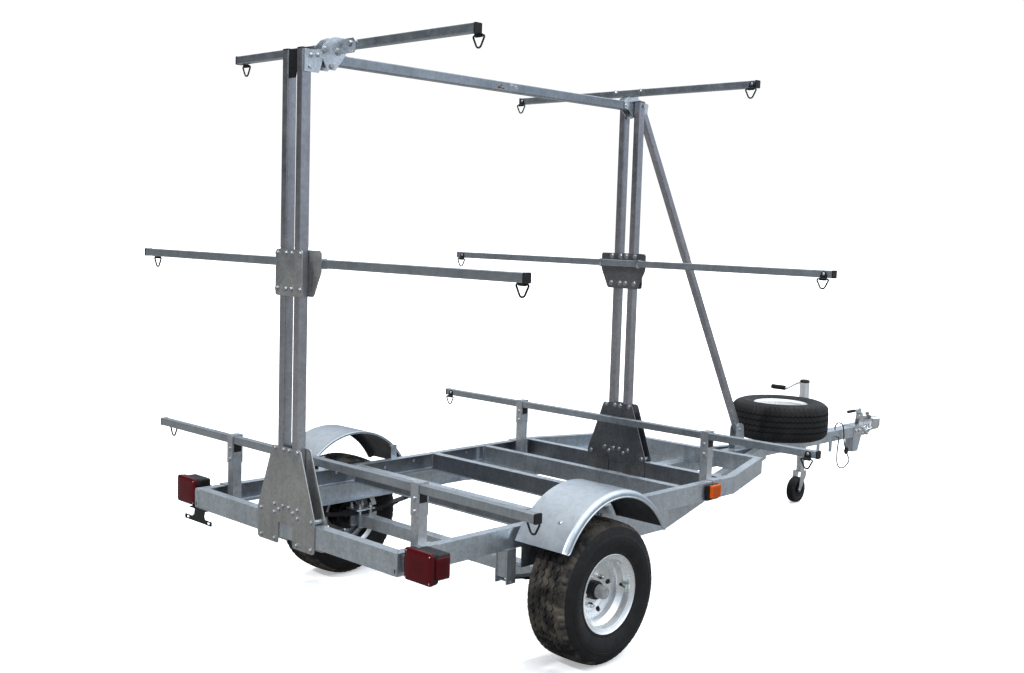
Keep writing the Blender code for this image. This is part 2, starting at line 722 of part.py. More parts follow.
def eye_place(face, ring_side, bottom):
    """Centre of a clip's eye: (y, z)."""
    return face + ring_side * (EYE_R + EYE_STANDOFF), bottom - RING_WIRE_R - EYE_DROP


def clip(x, face, ring_side, bottom):
    """A folded plate on a bar's face with a bolt and a rolled eye under the bar's edge."""
    y, z = eye_place(face, ring_side, bottom)
    sink = 0.0005
    plate = box((x - CLIP_HALF, x + CLIP_HALF), sorted((face - ring_side * sink, face + ring_side * CLIP_THICK)),
                (z, bottom + CLIP_HIGH))
    rolled = rod("X", y, z, EYE_R, x - CLIP_HALF + 0.001, x + CLIP_HALF - 0.001, sides=8)
    nut = head("Y", x, bottom + BAR / 2, face + ring_side * CLIP_THICK, ring_side)
    return [plate, rolled, nut]


def eye_hole(x, face, ring_side, bottom):
    """Cutter for the bore of a clip's eye."""
    y, z = eye_place(face, ring_side, bottom)
    radius = (RING_WIRE_R + GAP) / math.cos(math.pi / 8)
    return rod("X", y, z, radius, x - CLIP_HALF - 0.01, x + CLIP_HALF + 0.01, sides=8)


def ring_outline():
    """A rounded triangle hanging from its straight side, as points of (x, z)."""
    low = -RING_DROP - 0.010
    corners = ((RING_HALF, 0.0, RING_TOP_R), (-RING_HALF, 0.0, RING_TOP_R), (0.0, low, RING_BOTTOM_R))
    points = []
    for index, (x, z, radius) in enumerate(corners):
        here = Vector((x, z))
        back = (Vector(corners[index - 1][:2]) - here).normalized()
        ahead = (Vector(corners[(index + 1) % 3][:2]) - here).normalized()
        half_angle = back.angle(ahead) / 2
        centre = here + (back + ahead).normalized() * radius / math.sin(half_angle)
        towards = math.atan2(here.y - centre.y, here.x - centre.x)
        spread = math.pi / 2 - half_angle
        steps = 2
        for step in range(steps + 1):
            angle = towards - spread + 2 * spread * step / steps
            points.append((centre.x + radius * math.cos(angle), centre.y + radius * math.sin(angle)))
    return points


def lashing_ring():
    """One wire ring, as a closed curve round its hinge line."""
    data = bpy.data.curves.new("ring", "CURVE")
    data.dimensions = "3D"
    data.bevel_depth = RING_WIRE_R
    data.bevel_resolution = 1
    line = data.splines.new("POLY")
    outline = ring_outline()
    line.points.add(len(outline) - 1)
    for point, (x, z) in zip(line.points, outline):
        point.co = (x, 0.0, z, 1.0)
    line.use_cyclic_u = True
    made = bpy.data.objects.new("ring", data)
    bpy.context.collection.objects.link(made)
    return made


def riser(rear_y, side):
    """A post that carries a lower bar, with its saddle strap and its foot over the side rail."""
    inner, outer = RISER_INNER, RISER_INNER + RISER_POST
    front_y = rear_y + RISER_POST
    post_top = LOWER_BAR_TOP - BAR - GAP
    body = tube("Z", (inner, outer), (rear_y, front_y), RISER_BOTTOM, post_top, TUBE_WALL, close_high=True)
    middle = (inner + outer) / 2
    strap_x = (middle - STRAP_HALF + 0.001, middle + STRAP_HALF - 0.001)
    sink = 0.0005
    over = LOWER_BAR_TOP + GAP
    bar_front = rear_y + BAR + GAP
    saddle = ((rear_y - STRAP, STRAP_BOTTOM), (rear_y + sink, STRAP_BOTTOM), (rear_y + sink, post_top - STRAP),
              (rear_y - GAP, post_top - STRAP), (rear_y - GAP, over), (bar_front, over),
              (bar_front, post_top - STRAP), (front_y - sink, post_top - STRAP), (front_y - sink, STRAP_BOTTOM),
              (front_y + STRAP, STRAP_BOTTOM), (front_y + STRAP, over + STRAP), (rear_y - STRAP, over + STRAP))
    pieces = [prism("X", saddle, *strap_x)]
    for z in STRAP_BOLTS_Z:
        pieces += [head("Y", middle, z, rear_y - STRAP, -1), head("Y", middle, z, front_y + STRAP, 1)]
    centre_y = (rear_y + front_y) / 2
    foot_y = (centre_y - FOOT_WIDE / 2, centre_y + FOOT_WIDE / 2)
    plate_top = FRAME_TOP + GAP + FOOT_PLATE
    outer_face = RAIL_HALF + GAP + FOOT_PLATE
    web = RAIL_HALF + GAP
    foot = ((outer - sink, FRAME_TOP + GAP), (web, FRAME_TOP + GAP), (web, FOOT_BOTTOM), (outer_face, FOOT_BOTTOM),
            (outer_face, plate_top), (outer - sink, plate_top))
    pieces.append(prism("Y", foot, *foot_y))
    if rear_y == LOWER_BAR_REAR_Y:
        pieces.append(head("X", centre_y, (FOOT_BOTTOM + FRAME_TOP) / 2, outer_face, 1))
    body = join(body, *pieces)
    return body if side > 0 else mirrored(body)


def spreader():
    """The square tube between the mast heads, capped at the rear."""
    half = SPREADER / 2
    body = tube("Y", (-half, half), (SPREADER_TOP - SPREADER, SPREADER_TOP), SPREADER_REAR_Y, SPREADER_FRONT_Y,
                TUBE_WALL, close_low=True)
    y, z = spreader_bolt()
    return cut(body, bolt_hole("X", y, z, -half, half))


def spreader_bolt():
    """The bolt through the spreader's front end: (y, z)."""
    return SPREADER_FRONT_Y - 0.012, SPREADER_TOP - SPREADER / 2


def brace_pin():
    """The bolt through the brace's upper end: (y, z)."""
    return BRACE_TOP_Y, SPREADER_TOP - BRACE_PIN_DROP


def brace():
    """The sloping square tube from the front mast head to the tongue."""
    top, foot = Vector((0, *brace_pin())), Vector((0, *BRACE_FOOT_YZ))
    length = (foot - top).length
    half = BRACE / 2
    body = tube("Z", (-half, half), (-half, half), -length - BRACE_OVERRUN, 0.020, TUBE_WALL)
    holes = [bolt_hole("X", 0, z, -half, half) for z in (0.0, -length)]
    body = cut(body, *holes)
    turn = Vector((0, 0, -1)).rotation_difference(foot - top).to_matrix().to_4x4()
    body.data.transform(Matrix.Translation(top) @ turn)
    return body


def rear_top_bracket():
    """A mirrored pair of joggled plates from the rear mast to the spreader and the top bar."""
    inner = SPREADER / 2 + GAP
    outer = inner + PLATE
    tab_in, tab_out = MAST_OUTER + GAP, MAST_OUTER + GAP + PLATE
    tab_front = REAR_MAST_Y + MAST_DEEP + 0.040
    jog_front = -0.014
    flange_face = TOP_BAR_REAR_Y - GAP
    head_z = SPREADER_TOP
    tab_low, tab_high = head_z - 0.078, head_z - 0.002
    tab = ((REAR_MAST_Y + 0.006, tab_low), (tab_front - 0.012, tab_low), (tab_front, tab_low + 0.033),
           (tab_front, tab_high), (REAR_MAST_Y + 0.006, tab_high))
    under, over = head_z - SPREADER - 0.018, TOP_BAR_TOP + FLANGE_ABOVE
    flange_low = over - FLANGE_HIGH
    side_plate = ((jog_front, under + 0.044), (0.010, under), (0.044, under), (0.066, under + 0.026),
                  (flange_face, flange_low - 0.006), (flange_face, over), (0.040, over), (0.012, over - 0.012),
                  (jog_front, head_z + 0.020))
    jog = ((tab_in, tab_front - PLATE), (tab_out, tab_front - PLATE / 2), (tab_out, tab_front),
           (outer, jog_front + PLATE), (inner, jog_front + PLATE), (inner, jog_front))
    right = prism("X", tab, tab_in, tab_out)
    flange_tip = 0.083
    flange = ((inner, flange_low), (flange_tip - 0.012, flange_low), (flange_tip, flange_low + 0.014),
              (flange_tip, over - 0.014), (flange_tip - 0.012, over), (inner, over))
    body = join(right, prism("X", side_plate, inner, outer), prism("Z", jog, tab_high - 0.030, tab_high),
                prism("Y", flange, flange_face - PLATE, flange_face))
    pieces = [mirrored(body, keep=True)]
    for y, z in ((-0.004, SPREADER_TOP + 0.0095), (0.054, SPREADER_TOP + 0.0095),
                 (0.027, SPREADER_TOP - SPREADER - 0.0055)):
        pieces += bolt("X", y, z, -outer, outer)
    mast_y, mast_z = mast_cross_bolts(REAR_MAST_Y)[0]
    pieces += bolt("X", mast_y, mast_z, -tab_out, tab_out)
    for x, z in top_bar_bolts(REAR_MAST_Y):
        pieces += bolt("Y", x, z, flange_face - PLATE, TOP_BAR_REAR_Y + BAR + GAP + HEAD_SINK)
    return join(body, *pieces)


def top_bar_bolts(rear_y):
    """Where bolts pass through a top bar: (x, z)."""
    x = 0.052 if rear_y == REAR_MAST_Y else 0.0715
    return ((-x, TOP_BAR_TOP - 0.012), (x, TOP_BAR_TOP - 0.012))


def front_top_bracket():
    """Two plates between the front mast's tubes that hold the spreader, the brace and the top bar."""
    inner = SPREADER / 2 + GAP
    outer = inner + PLATE
    face = TOP_BAR_FRONT_Y + BAR + GAP
    head_z = SPREADER_TOP
    rear, front = SPREADER_FRONT_Y - 0.026, BRACE_TOP_Y + 0.028
    bar_seat = TOP_BAR_TOP - BAR - 0.001
    side_plate = ((rear, head_z - 0.032), (rear + 0.035, head_z - 0.038), (rear + 0.077, head_z - 0.073),
                  (rear + 0.107, head_z - 0.070), (front - 0.006, head_z - 0.040), (front, head_z - 0.002),
                  (face + 0.022, TOP_BAR_TOP - 0.037), (face + 0.022, TOP_BAR_TOP - 0.007), (face, TOP_BAR_TOP - 0.003),
                  (face, bar_seat), (rear + 0.033, bar_seat), (rear, head_z - 0.002))
    reach = 0.088
    low, high = TOP_BAR_TOP - BAR + 0.002, TOP_BAR_TOP - 0.001
    flange = ((inner, low), (reach - 0.008, low), (reach, low + 0.008), (reach, high - 0.008), (reach - 0.008, high),
              (inner, high))
    body = join(prism("X", side_plate, inner, outer), prism("Y", flange, face, face + PLATE))
    pieces = [mirrored(body, keep=True)]
    mast_y, mast_z = mast_cross_bolts(FRONT_MAST_Y)[0]
    washer = MAST_OUTER + GAP + HEAD_SINK
    pieces += bolt("X", mast_y, mast_z, -washer, washer)
    for y, z in (spreader_bolt(), brace_pin()):
        pieces += bolt("X", y, z, -outer, outer)
    for x, z in top_bar_bolts(FRONT_MAST_Y):
        pieces += bolt("Y", x, z, TOP_BAR_FRONT_Y - GAP - HEAD_SINK, face + PLATE)
    return join(body, *pieces)


def axle():
    """A square axle with spindles, spring tie plates and square U-bolts."""
    half = AXLE / 2
    beam_y = (WHEEL_Y - half, WHEEL_Y + half)
    body = tube("X", beam_y, (TYRE_R - half, TYRE_R + half), -AXLE_HALF, AXLE_HALF, AXLE_WALL,
                close_low=True, close_high=True)
    body = cut(body, rod("Z", 0.2, WHEEL_Y, VENT_R, TYRE_R - half - 0.01, TYRE_R, sides=8))
    sink = 0.001
    pack_top = SPRING_SEAT + SPRING_PACK + GAP
    leg = 0.010
    pieces = []
    for side in (-1, 1):
        pieces.append(rod("X", WHEEL_Y, TYRE_R, SPINDLE_R, *sorted((side * (AXLE_HALF - sink),
                          side * (WHEEL_X + SPINDLE_END))), sides=16))
        x = side * SPRING_X
        plate_half = SPRING_WIDE / 2 + 0.015
        pieces.append(box((x - plate_half, x + plate_half), (WHEEL_Y - SPRING_SEAT_HALF, WHEEL_Y + SPRING_SEAT_HALF),
                          (pack_top, pack_top + LEAF)))
        for near in (-1, 1):
            leg_x = x + near * (SPRING_WIDE / 2 + 0.001 + leg / 2)
            for ahead in (-1, 1):
                leg_y = WHEEL_Y + ahead * (half + leg / 2 - sink)
                pieces.append(box((leg_x - leg / 2, leg_x + leg / 2), (leg_y - leg / 2, leg_y + leg / 2),
                                  (TYRE_R - half - leg + sink, pack_top + LEAF + 0.012)))
            pieces.append(box((leg_x - leg / 2, leg_x + leg / 2), (beam_y[0] - leg + sink, beam_y[1] + leg - sink),
                              (TYRE_R - half - leg + sink, TYRE_R - half + sink)))
    return join(body, *pieces)


def leaf_spring(side):
    """Stacked leaves bowed up to a rolled eye at the front and a slipper end at the rear."""
    steps = 12
    top = SPRING_SEAT + SPRING_PACK
    lengths = [SPRING_HALF, 0.200, 0.115]
    upper = []
    lower = []
    for index in range(-steps, steps + 1):
        along = SPRING_HALF * index / steps
        rise = SPRING_RISE * (max(0.0, abs(along) - SPRING_SEAT_HALF) / (SPRING_HALF - SPRING_SEAT_HALF)) ** 2
        upper.append((WHEEL_Y + along, top + rise))
        leaves = sum(1 for length in lengths if abs(along) <= length)
        lower.append((WHEEL_Y + along, top + rise - LEAF * leaves))
    body = prism("X", upper + lower[::-1], -SPRING_WIDE / 2, SPRING_WIDE / 2)
    eye = rod("X", EYE_Y, EYE_Z, EYE_OUTER, -SPRING_WIDE / 2, SPRING_WIDE / 2, sides=16)
    bore = rod("X", EYE_Y, EYE_Z, PIN_R + GAP, -SPRING_WIDE, SPRING_WIDE, sides=16)
    body = cut(join(body, eye), bore)
    return moved(body, x=side * SPRING_X)


def tyre_profile():
    """A closed section of (radius, place along the axle): bead to bead outside, and back inside."""
    bead = (RIM_BEAD_R + GAP) / math.cos(math.pi / WHEEL_STEPS)
    half = TYRE_HALF
    crown = TYRE_R / math.cos(math.pi / WHEEL_STEPS)
    side = ((bead, 0.076), (0.150, 0.088), (0.193, half), (0.224, 0.097), (crown - 0.008, 0.078), (crown, 0.052))
    inside = ((crown - 0.015, 0.058), (0.205, 0.088), (bead, 0.064))
    outer = [(r, -s) for r, s in side] + [(r, s) for r, s in reversed(side)]
    inner = [(r, s) for r, s in reversed(inside)] + [(r, -s) for r, s in inside]
    return outer + inner


def tyre(axis, centre):
    """A hollow tyre carcass."""
    return turned(axis, centre, tyre_profile(), WHEEL_STEPS)


def rim_profile(hub):
    """The rim's section, from the middle of its disc's front face round to the back face."""
    sheet = RIM_SHEET
    well, seat = RIM_WELL_R, RIM_BEAD_R
    barrel = [(RIM_FLANGE_R, -RIM_HALF), (seat, -0.0775), (seat, -0.052), (well, -0.040), (well, 0.030),
              (seat, 0.050), (seat, 0.0775), (RIM_FLANGE_R, RIM_HALF)]
    inboard = [(well - sheet, -0.041), (seat - sheet, -0.0535), (seat - sheet, -0.079),
               (RIM_FLANGE_R - sheet, -RIM_HALF)]
    outboard = [(RIM_FLANGE_R - sheet, RIM_HALF), (seat - sheet, 0.079), (seat - sheet, 0.0515),
                (well - sheet, 0.032)]
    disc_front = [(well - sheet, 0.012), (DISC_STEP_R, sheet / 2)]
    disc_back = [(DISC_STEP_R, -sheet / 2), (well - sheet, 0.008)]
    round_the_rim = disc_back + inboard + barrel + outboard + disc_front
    if hub:
        bore = SPINDLE_R / math.cos(math.pi / RIM_STEPS) + GAP
        nose = [(HUB_R, sheet / 2), (HUB_R, 0.030), (CAP_R, 0.034), (CAP_R, 0.064), (0.0, 0.070)]
        inner = [(0.0, SPINDLE_END + GAP), (bore, SPINDLE_END + GAP), (bore, -HUB_BACK), (HUB_R, -HUB_BACK),
                 (HUB_R, -sheet / 2)]
        return inner + round_the_rim + nose
    return [(CENTRE_HOLE_R, -sheet / 2)] + round_the_rim + [(CENTRE_HOLE_R, sheet / 2)]


def rim(axis, centre, hub):
    """A wheel rim, with its hub or with the open centre of a spare."""
    body = turned(axis, centre, rim_profile(hub), RIM_STEPS, closed=not hub)
    holes = []
    studs = []
    for index in range(LUG_COUNT):
        first, second = around(axis, centre, lug_angle(index), LUG_CIRCLE_R)
        along = centre["XYZ".index(axis)]
        if hub:
            studs.append(rod(axis, first, second, 0.010, along, along + 0.020, sides=6))
        else:
            holes.append(rod(axis, first, second, BOLT_R + 0.0015, along - 0.01, along + 0.01, sides=6))
    for index in range(LUG_COUNT):
        angle = math.tau * index / LUG_COUNT + RIM_TURN
        first, second = around(axis, centre, angle, HAND_HOLE_CIRCLE_R)
        along = centre["XYZ".index(axis)]
        holes.append(rod(axis, first, second, HAND_HOLE_R, along - 0.02, along + 0.03, sides=8))
    body = cut(body, *holes)
    return join(body, *studs) if studs else body


def around(axis, centre, angle, radius):
    """A point on a circle round an axis: its two other values, in X, Y, Z order."""
    first, second = {"X": (centre[1], centre[2]), "Z": (centre[0], centre[1])}[axis]
    return first + radius * math.cos(angle), second + radius * math.sin(angle)


def fender():
    """The right-hand mudguard: a rolled sheet with a rounded outer edge and two stays to the rail."""
    sheet = FENDER_SHEET
    outer = [(FENDER_INNER, FENDER_R - 0.010), (FENDER_INNER, FENDER_R)]
    inner = [(FENDER_INNER + sheet, FENDER_R - 0.010), (FENDER_INNER + sheet, FENDER_R - sheet)]
    corner_x, corner_r = FENDER_OUTER - FENDER_SHOULDER, FENDER_R - FENDER_SHOULDER
    steps = 3
    for step in range(steps + 1):
        angle = math.pi / 2 * (1 - step / steps)
        for line, radius in ((outer, FENDER_SHOULDER), (inner, FENDER_SHOULDER - sheet)):
            line.append((corner_x + radius * math.cos(angle), corner_r + radius * math.sin(angle)))
    outer.append((FENDER_OUTER, FENDER_R - FENDER_SKIRT))
    inner.append((FENDER_OUTER - sheet, FENDER_R - FENDER_SKIRT))
    half_angle = math.asin(FENDER_CHORD_HALF / FENDER_R)
    body = arc_sheet((WHEEL_Y, FENDER_Z), outer + inner[::-1], half_angle, FENDER_STEPS)
    pieces = []
    stay_half = 0.016
    for ahead in (-1, 1):
        y = WHEEL_Y + ahead * FENDER_STAY_Y
        height = FENDER_Z + math.sqrt((FENDER_R - 0.008) ** 2 - FENDER_STAY_Y ** 2)
        web = RAIL_HALF + GAP
        pieces.append(box((web, web + 0.004), (y - stay_half, y + stay_half), (FRAME_BOTTOM + 0.012, height)))
        pieces.append(box((web, FENDER_INNER + 0.001), (y - stay_half, y + stay_half), (height - 0.004, height)))
        pieces.append(head("X", y, FRAME_BOTTOM + 0.045, web + 0.004, 1))
    return join(body, *pieces)


def tail_light(side):
    """A boxed lamp on a bracket from the rail's rear end; the left one also holds the plate bracket."""
    x0, x1 = TAIL_X - TAIL_WIDE / 2, TAIL_X + TAIL_WIDE / 2
    front = TAIL_REAR_Y + TAIL_DEEP
    body = box((x0, x1), (TAIL_REAR_Y, front), (TAIL_BOTTOM, TAIL_TOP))
    edge = 0.012
    lens = prism("Z", ((x0 + 0.002, TAIL_REAR_Y + 0.001), (x0 + edge, TAIL_REAR_Y - LENS_BULGE),
                       (x1 - edge, TAIL_REAR_Y - LENS_BULGE), (x1 - 0.002, TAIL_REAR_Y + 0.001)),
                 TAIL_BOTTOM + 0.004, TAIL_TOP - 0.004)
    sheet = 0.004
    web = RAIL_HALF + GAP
    pieces = [lens, box((web, web + sheet), (TAIL_REAR_Y + 0.010, front + sheet), (0.440, 0.496)),
              box((web, TAIL_X), (front - 0.001, front + sheet), (0.440, 0.496)),
              head("X", TAIL_REAR_Y + 0.045, 0.468, web + sheet, 1)]
    body = join(body, *pieces)
    if side > 0:
        return body
    body = mirrored(body)
    under = FRAME_BOTTOM - GAP
    rear = REAR_MAST_Y - 0.005
    strap_outer, strap_inner = -RAIL_HALF - 0.006, -RAIL_HALF + 0.084
    plate_middle, plate_half = -RAIL_HALF + 0.029, 0.095
    plate_bottom, plate_top, overlap, sheet = 0.375, 0.393, 0.008, 0.003
    return join(body, box((-x0 - 0.020, strap_inner), (rear, rear + 0.034), (under - sheet, under)),
                box((strap_outer, strap_inner), (rear, rear + sheet), (plate_top - overlap, under)),
                box((plate_middle - plate_half, plate_middle + plate_half), (rear, rear + sheet),
                    (plate_bottom, plate_top)))


def side_marker(side):
    """An amber lamp on its base, on the outer plate of the front riser's foot."""
    base = RAIL_HALF + 2 * GAP + FOOT_PLATE
    rear, front = MARKER_REAR_Y, MARKER_FRONT_Y
    body = box((base, base + 0.010), (rear, front), (MARKER_BOTTOM, MARKER_TOP))
    edge, top = 0.008, base + MARKER_DEEP
    lens = prism("Z", ((base + 0.009, rear + 0.004), (base + 0.009, front - 0.004), (top - 0.004, front - edge),
                       (top, front - 2 * edge), (top, rear + 2 * edge), (top - 0.004, rear + edge)),
                 MARKER_BOTTOM + 0.005, MARKER_TOP - 0.005)
    body = join(body, lens)
    return body if side > 0 else mirrored(body)


def coupler():
    """The pressed ball coupler: a sleeve on the tongue, a neck, a socket, latch ears and a chain."""
    wall = COUPLER_WALL
    inner = TONGUE_HALF + GAP
    outer = inner + wall
    bottom = TONGUE_BOTTOM + 0.012
    sleeve_front = TONGUE_FRONT_Y + 0.010
    body = box((-outer, outer), (COUPLER_REAR_Y, sleeve_front), (bottom, TONGUE_TOP + GAP + wall))
    body = cut(body, box((-inner, inner), (COUPLER_REAR_Y - 0.01, TONGUE_FRONT_Y + 0.002),
                         (bottom - 0.01, TONGUE_TOP + GAP)))
    nose_y = COUPLER_NOSE_Y - NOSE_R
    neck = ((-outer + 0.001, sleeve_front - 0.003), (outer - 0.001, sleeve_front - 0.003),
            (NOSE_R - 0.004, nose_y), (-NOSE_R + 0.004, nose_y))
    dome = rod("Z", 0, nose_y, NOSE_R, NOSE_BOTTOM, NOSE_TOP - 0.010, sides=20)
    crown = rod("Z", 0, nose_y, NOSE_R, NOSE_TOP - 0.0105, NOSE_TOP, sides=20, tip_radius=NOSE_R - 0.013)
    body = join(body, prism("Z", neck, TONGUE_BOTTOM + 0.020, TONGUE_TOP + 0.0035), dome, crown)
    slot = box((-0.020, 0.020), (sleeve_front + 0.020, nose_y), (TONGUE_BOTTOM, NOSE_TOP - 0.044))
    body = cut(body, rod("Z", 0, nose_y, SOCKET_R, NOSE_BOTTOM - 0.01, SOCKET_TOP, sides=20), slot)
    y, z = LEVER_YZ
    ear_in = LEVER_HALF + GAP
    ear_out = ear_in + EAR
    seat = TONGUE_TOP + wall - 0.001
    ear = ((y - 0.030, seat), (y + 0.040, seat), (y + 0.012, z + 0.008), (y - 0.010, z + 0.008))
    pieces = [prism("X", ear, ear_in, ear_out), prism("X", ear, -ear_out, -ear_in),
              rod("X", y, z, LEVER_PIN_R, -ear_out - 0.002, ear_out + 0.002, sides=8),
              rod("Z", 0, 4.162, 0.006, seat, 0.482, sides=8), rod("Z", 0, 4.162, 0.011, 0.478, 0.492, sides=8),
              box((-0.016, 0.016), (y + 0.034, 4.200), (seat, seat + 0.022))]
    pieces += chain(outer)
    return join(body, *pieces)


def chain(side):
    """Three links of the safety chain, hanging in a bunch on the coupler's right side."""
    wire, half_long, half_wide = 0.0035, 0.013, 0.009
    links = []
    for index, (y, z, lean) in enumerate(((4.060, 0.402, 0.3), (4.077, 0.394, -0.4), (4.094, 0.384, 0.5))):
        bm = bmesh.new()
        turns, sides = 8, 5
        rings = []
        for turn in range(turns):
            angle = math.tau * turn / turns
            centre = Vector((0, half_long * math.cos(angle), half_wide * math.sin(angle)))
            outward = Vector((0, math.cos(angle), math.sin(angle)))
            rings.append([bm.verts.new(centre + outward * wire * math.cos(math.tau * k / sides)
                                       + AXES["X"] * wire * math.sin(math.tau * k / sides)) for k in range(sides)])
        for turn in range(turns):
            ring, after = rings[turn], rings[(turn + 1) % turns]
            for k in range(sides):
                bm.faces.new((ring[k], ring[(k + 1) % sides], after[(k + 1) % sides], after[k]))
        bmesh.ops.rotate(bm, cent=(0, 0, 0), matrix=Matrix.Rotation(lean, 3, "X"), verts=bm.verts[:])
        bmesh.ops.translate(bm, vec=(side + 0.0012 + 0.001 * (index % 2), y, z), verts=bm.verts[:])
        links.append(solid(bm))
    return links


def coupler_lever():
    """The latch lever: a grip to the rear, an arm and an eye round the pivot pin."""
    y, z = LEVER_YZ
    grip_z = z + 0.021
    arm = ((LEVER_GRIP_FRONT_Y - 0.004, grip_z - 0.006), (y - 0.006, z - 0.009), (y + 0.010, z - 0.009),
           (y + 0.012, z + 0.010), (y, z + 0.032), (y - 0.016, z + 0.034), (LEVER_GRIP_FRONT_Y - 0.004, grip_z + 0.006))
    body = prism("X", arm, -LEVER_HALF, LEVER_HALF)
    grip = rod("Y", 0, grip_z, LEVER_GRIP_R, LEVER_GRIP_REAR_Y, LEVER_GRIP_FRONT_Y, sides=12)
    sides = 8
    bore = rod("X", y, z, bore_radius(LEVER_PIN_R, sides), -LEVER_HALF - 0.01, LEVER_HALF + 0.01, sides=sides)
    return cut(join(body, grip), bore)


def jack_tube():
    """The jack's outer tube with its swivel flange and the hole for the crank."""
    shoulder = JACK_TUBE_TOP - 0.003
    body = rod("Z", JACK_X, JACK_Y, JACK_TUBE_R, JACK_TUBE_BOTTOM, shoulder, sides=20)
    cap = rod("Z", JACK_X, JACK_Y, JACK_TUBE_R - 0.001, shoulder - 0.001, JACK_TUBE_TOP, sides=20,
              tip_radius=JACK_TUBE_R - 0.004)
    face = JACK_X + JACK_TUBE_R + JACK_FLANGE
    flange = rod("X", JACK_Y, JACK_PIVOT_Z, JACK_BOSS_R, JACK_X, face, sides=16)
    tube_sides, pin_sides = 20, 12
    bore = rod("Z", JACK_X, JACK_Y, bore_radius(JACK_LEG_R, tube_sides), JACK_TUBE_BOTTOM - 0.01,
               JACK_TUBE_TOP - 0.008, sides=tube_sides)
    pivot = rod("X", JACK_Y, JACK_PIVOT_Z, bore_radius(JACK_SWIVEL_PIN_R, pin_sides), face - JACK_FLANGE + GAP,
                face + 0.01, sides=pin_sides)
    shaft = rod("X", JACK_Y, CRANK_Z, CRANK_R + GAP, JACK_X - JACK_TUBE_R - 0.01, JACK_X - 0.010)
    return cut(join(body, cap, flange), bore, pivot, shaft)


def jack_leg():
    """The inner leg: a tube closed at its foot, bored for the caster's stem."""
    bore = JACK_LEG_R - JACK_LEG_WALL
    foot = JACK_LEG_BOTTOM + 0.030
    profile = [(0, foot), (bore, foot), (bore, JACK_LEG_TOP), (JACK_LEG_R, JACK_LEG_TOP),
               (JACK_LEG_R, JACK_LEG_BOTTOM), (STEM_R + GAP, JACK_LEG_BOTTOM), (STEM_R + GAP, foot - 0.006),
               (0, foot - 0.006)]
    return turned("Z", (JACK_X, JACK_Y, 0), profile, 20, closed=False)


def jack_crank():
    """The crank: a shaft in the tube, an arm to the rear and a grip."""
    elbow_x = JACK_X - JACK_TUBE_R - 0.012
    elbow = (elbow_x, JACK_Y, CRANK_Z)
    hand = (elbow_x - 0.012, JACK_Y - CRANK_ARM_Y, CRANK_Z - CRANK_DROP)
    body = rod("X", JACK_Y, CRANK_Z, CRANK_R, elbow_x - 0.005, JACK_X - 0.012)
    grip = rod("X", hand[1], hand[2], CRANK_GRIP_R, hand[0] - CRANK_GRIP_LONG, hand[0] + 0.004)
    return join(body, beam(elbow, hand, 0.0045), grip)


def jack_fork():
    """The caster fork: a stem, a crown plate, two cheeks and the wheel's pin."""
    crown = JACK_LEG_BOTTOM - GAP
    axle_y, axle_z = JACK_Y - CASTER_TRAIL, CASTER_R
    inner = CASTER_WIDE / 2 + FORK_SIDE_GAP
    outer = inner + FORK
    body = rod("Z", JACK_X, JACK_Y, STEM_R, crown - 0.002, JACK_LEG_BOTTOM + 0.022, sides=20)
    crown_y = (JACK_Y - 0.034, JACK_Y + 0.026)
    cheek = ((crown_y[0], crown), (crown_y[0], crown - 0.020), (axle_y - 0.014, axle_z), (axle_y, axle_z - 0.014),
             (axle_y + 0.016, axle_z), (crown_y[1], crown - 0.028), (crown_y[1], crown))
    pieces = [box((JACK_X - outer, JACK_X + outer), crown_y, (crown - 0.005, crown)),
              prism("X", cheek, JACK_X + inner, JACK_X + outer), prism("X", cheek, JACK_X - outer, JACK_X - inner),
              rod("X", axle_y, axle_z, CASTER_PIN_R, JACK_X - outer - 0.004, JACK_X + outer + 0.004)]
    return join(body, *pieces)


def jack_wheel():
    """The caster wheel, with a rounded tread."""
    steps = 16
    radius = CASTER_R / math.cos(math.pi / steps)
    half = CASTER_WIDE / 2
    bore = CASTER_PIN_R + GAP
    profile = ((bore, -half), (0.024, -half), (0.030, -half + 0.006), (0.054, -half + 0.002),
               (radius - 0.008, -half + 0.002), (radius, -half + 0.012), (radius, half - 0.012),
               (radius - 0.008, half - 0.002), (0.054, half - 0.002), (0.030, half - 0.006), (0.024, half), (bore, half))
    return turned("X", (JACK_X, JACK_Y - CASTER_TRAIL, CASTER_R), profile, steps)


def cord_route():
    """The harness cord's route: out of the tongue's top, over its edge, through the plug and round."""
    side = TONGUE_HALF + CORD_R
    start = TONGUE_TOP + GAP
    out = side + 0.010
    return ((0.012, 3.748, start), (0.012, 3.748, start + 0.014), (0.016, 3.752, start + 0.032),
            (0.034, 3.764, start + 0.042), (side + 0.007, 3.778, start + 0.022), (out, 3.786, 0.405),
            (out, 3.796, 0.350), (out, 3.818, 0.312), (out, 3.836, 0.284), (out, 3.850, 0.262),
            (out, 3.868, 0.240), (out, 3.845, 0.213), (out, 3.800, 0.200), (out, 3.752, 0.208),
            (out, 3.724, 0.236), (out, 3.717, 0.285), (out + 0.002, 3.718, 0.340), (out + 0.006, 3.719, 0.378),
            (out + 0.002, 3.719, 0.3915), (TONGUE_HALF + 2 * GAP, 3.719, 0.3915))


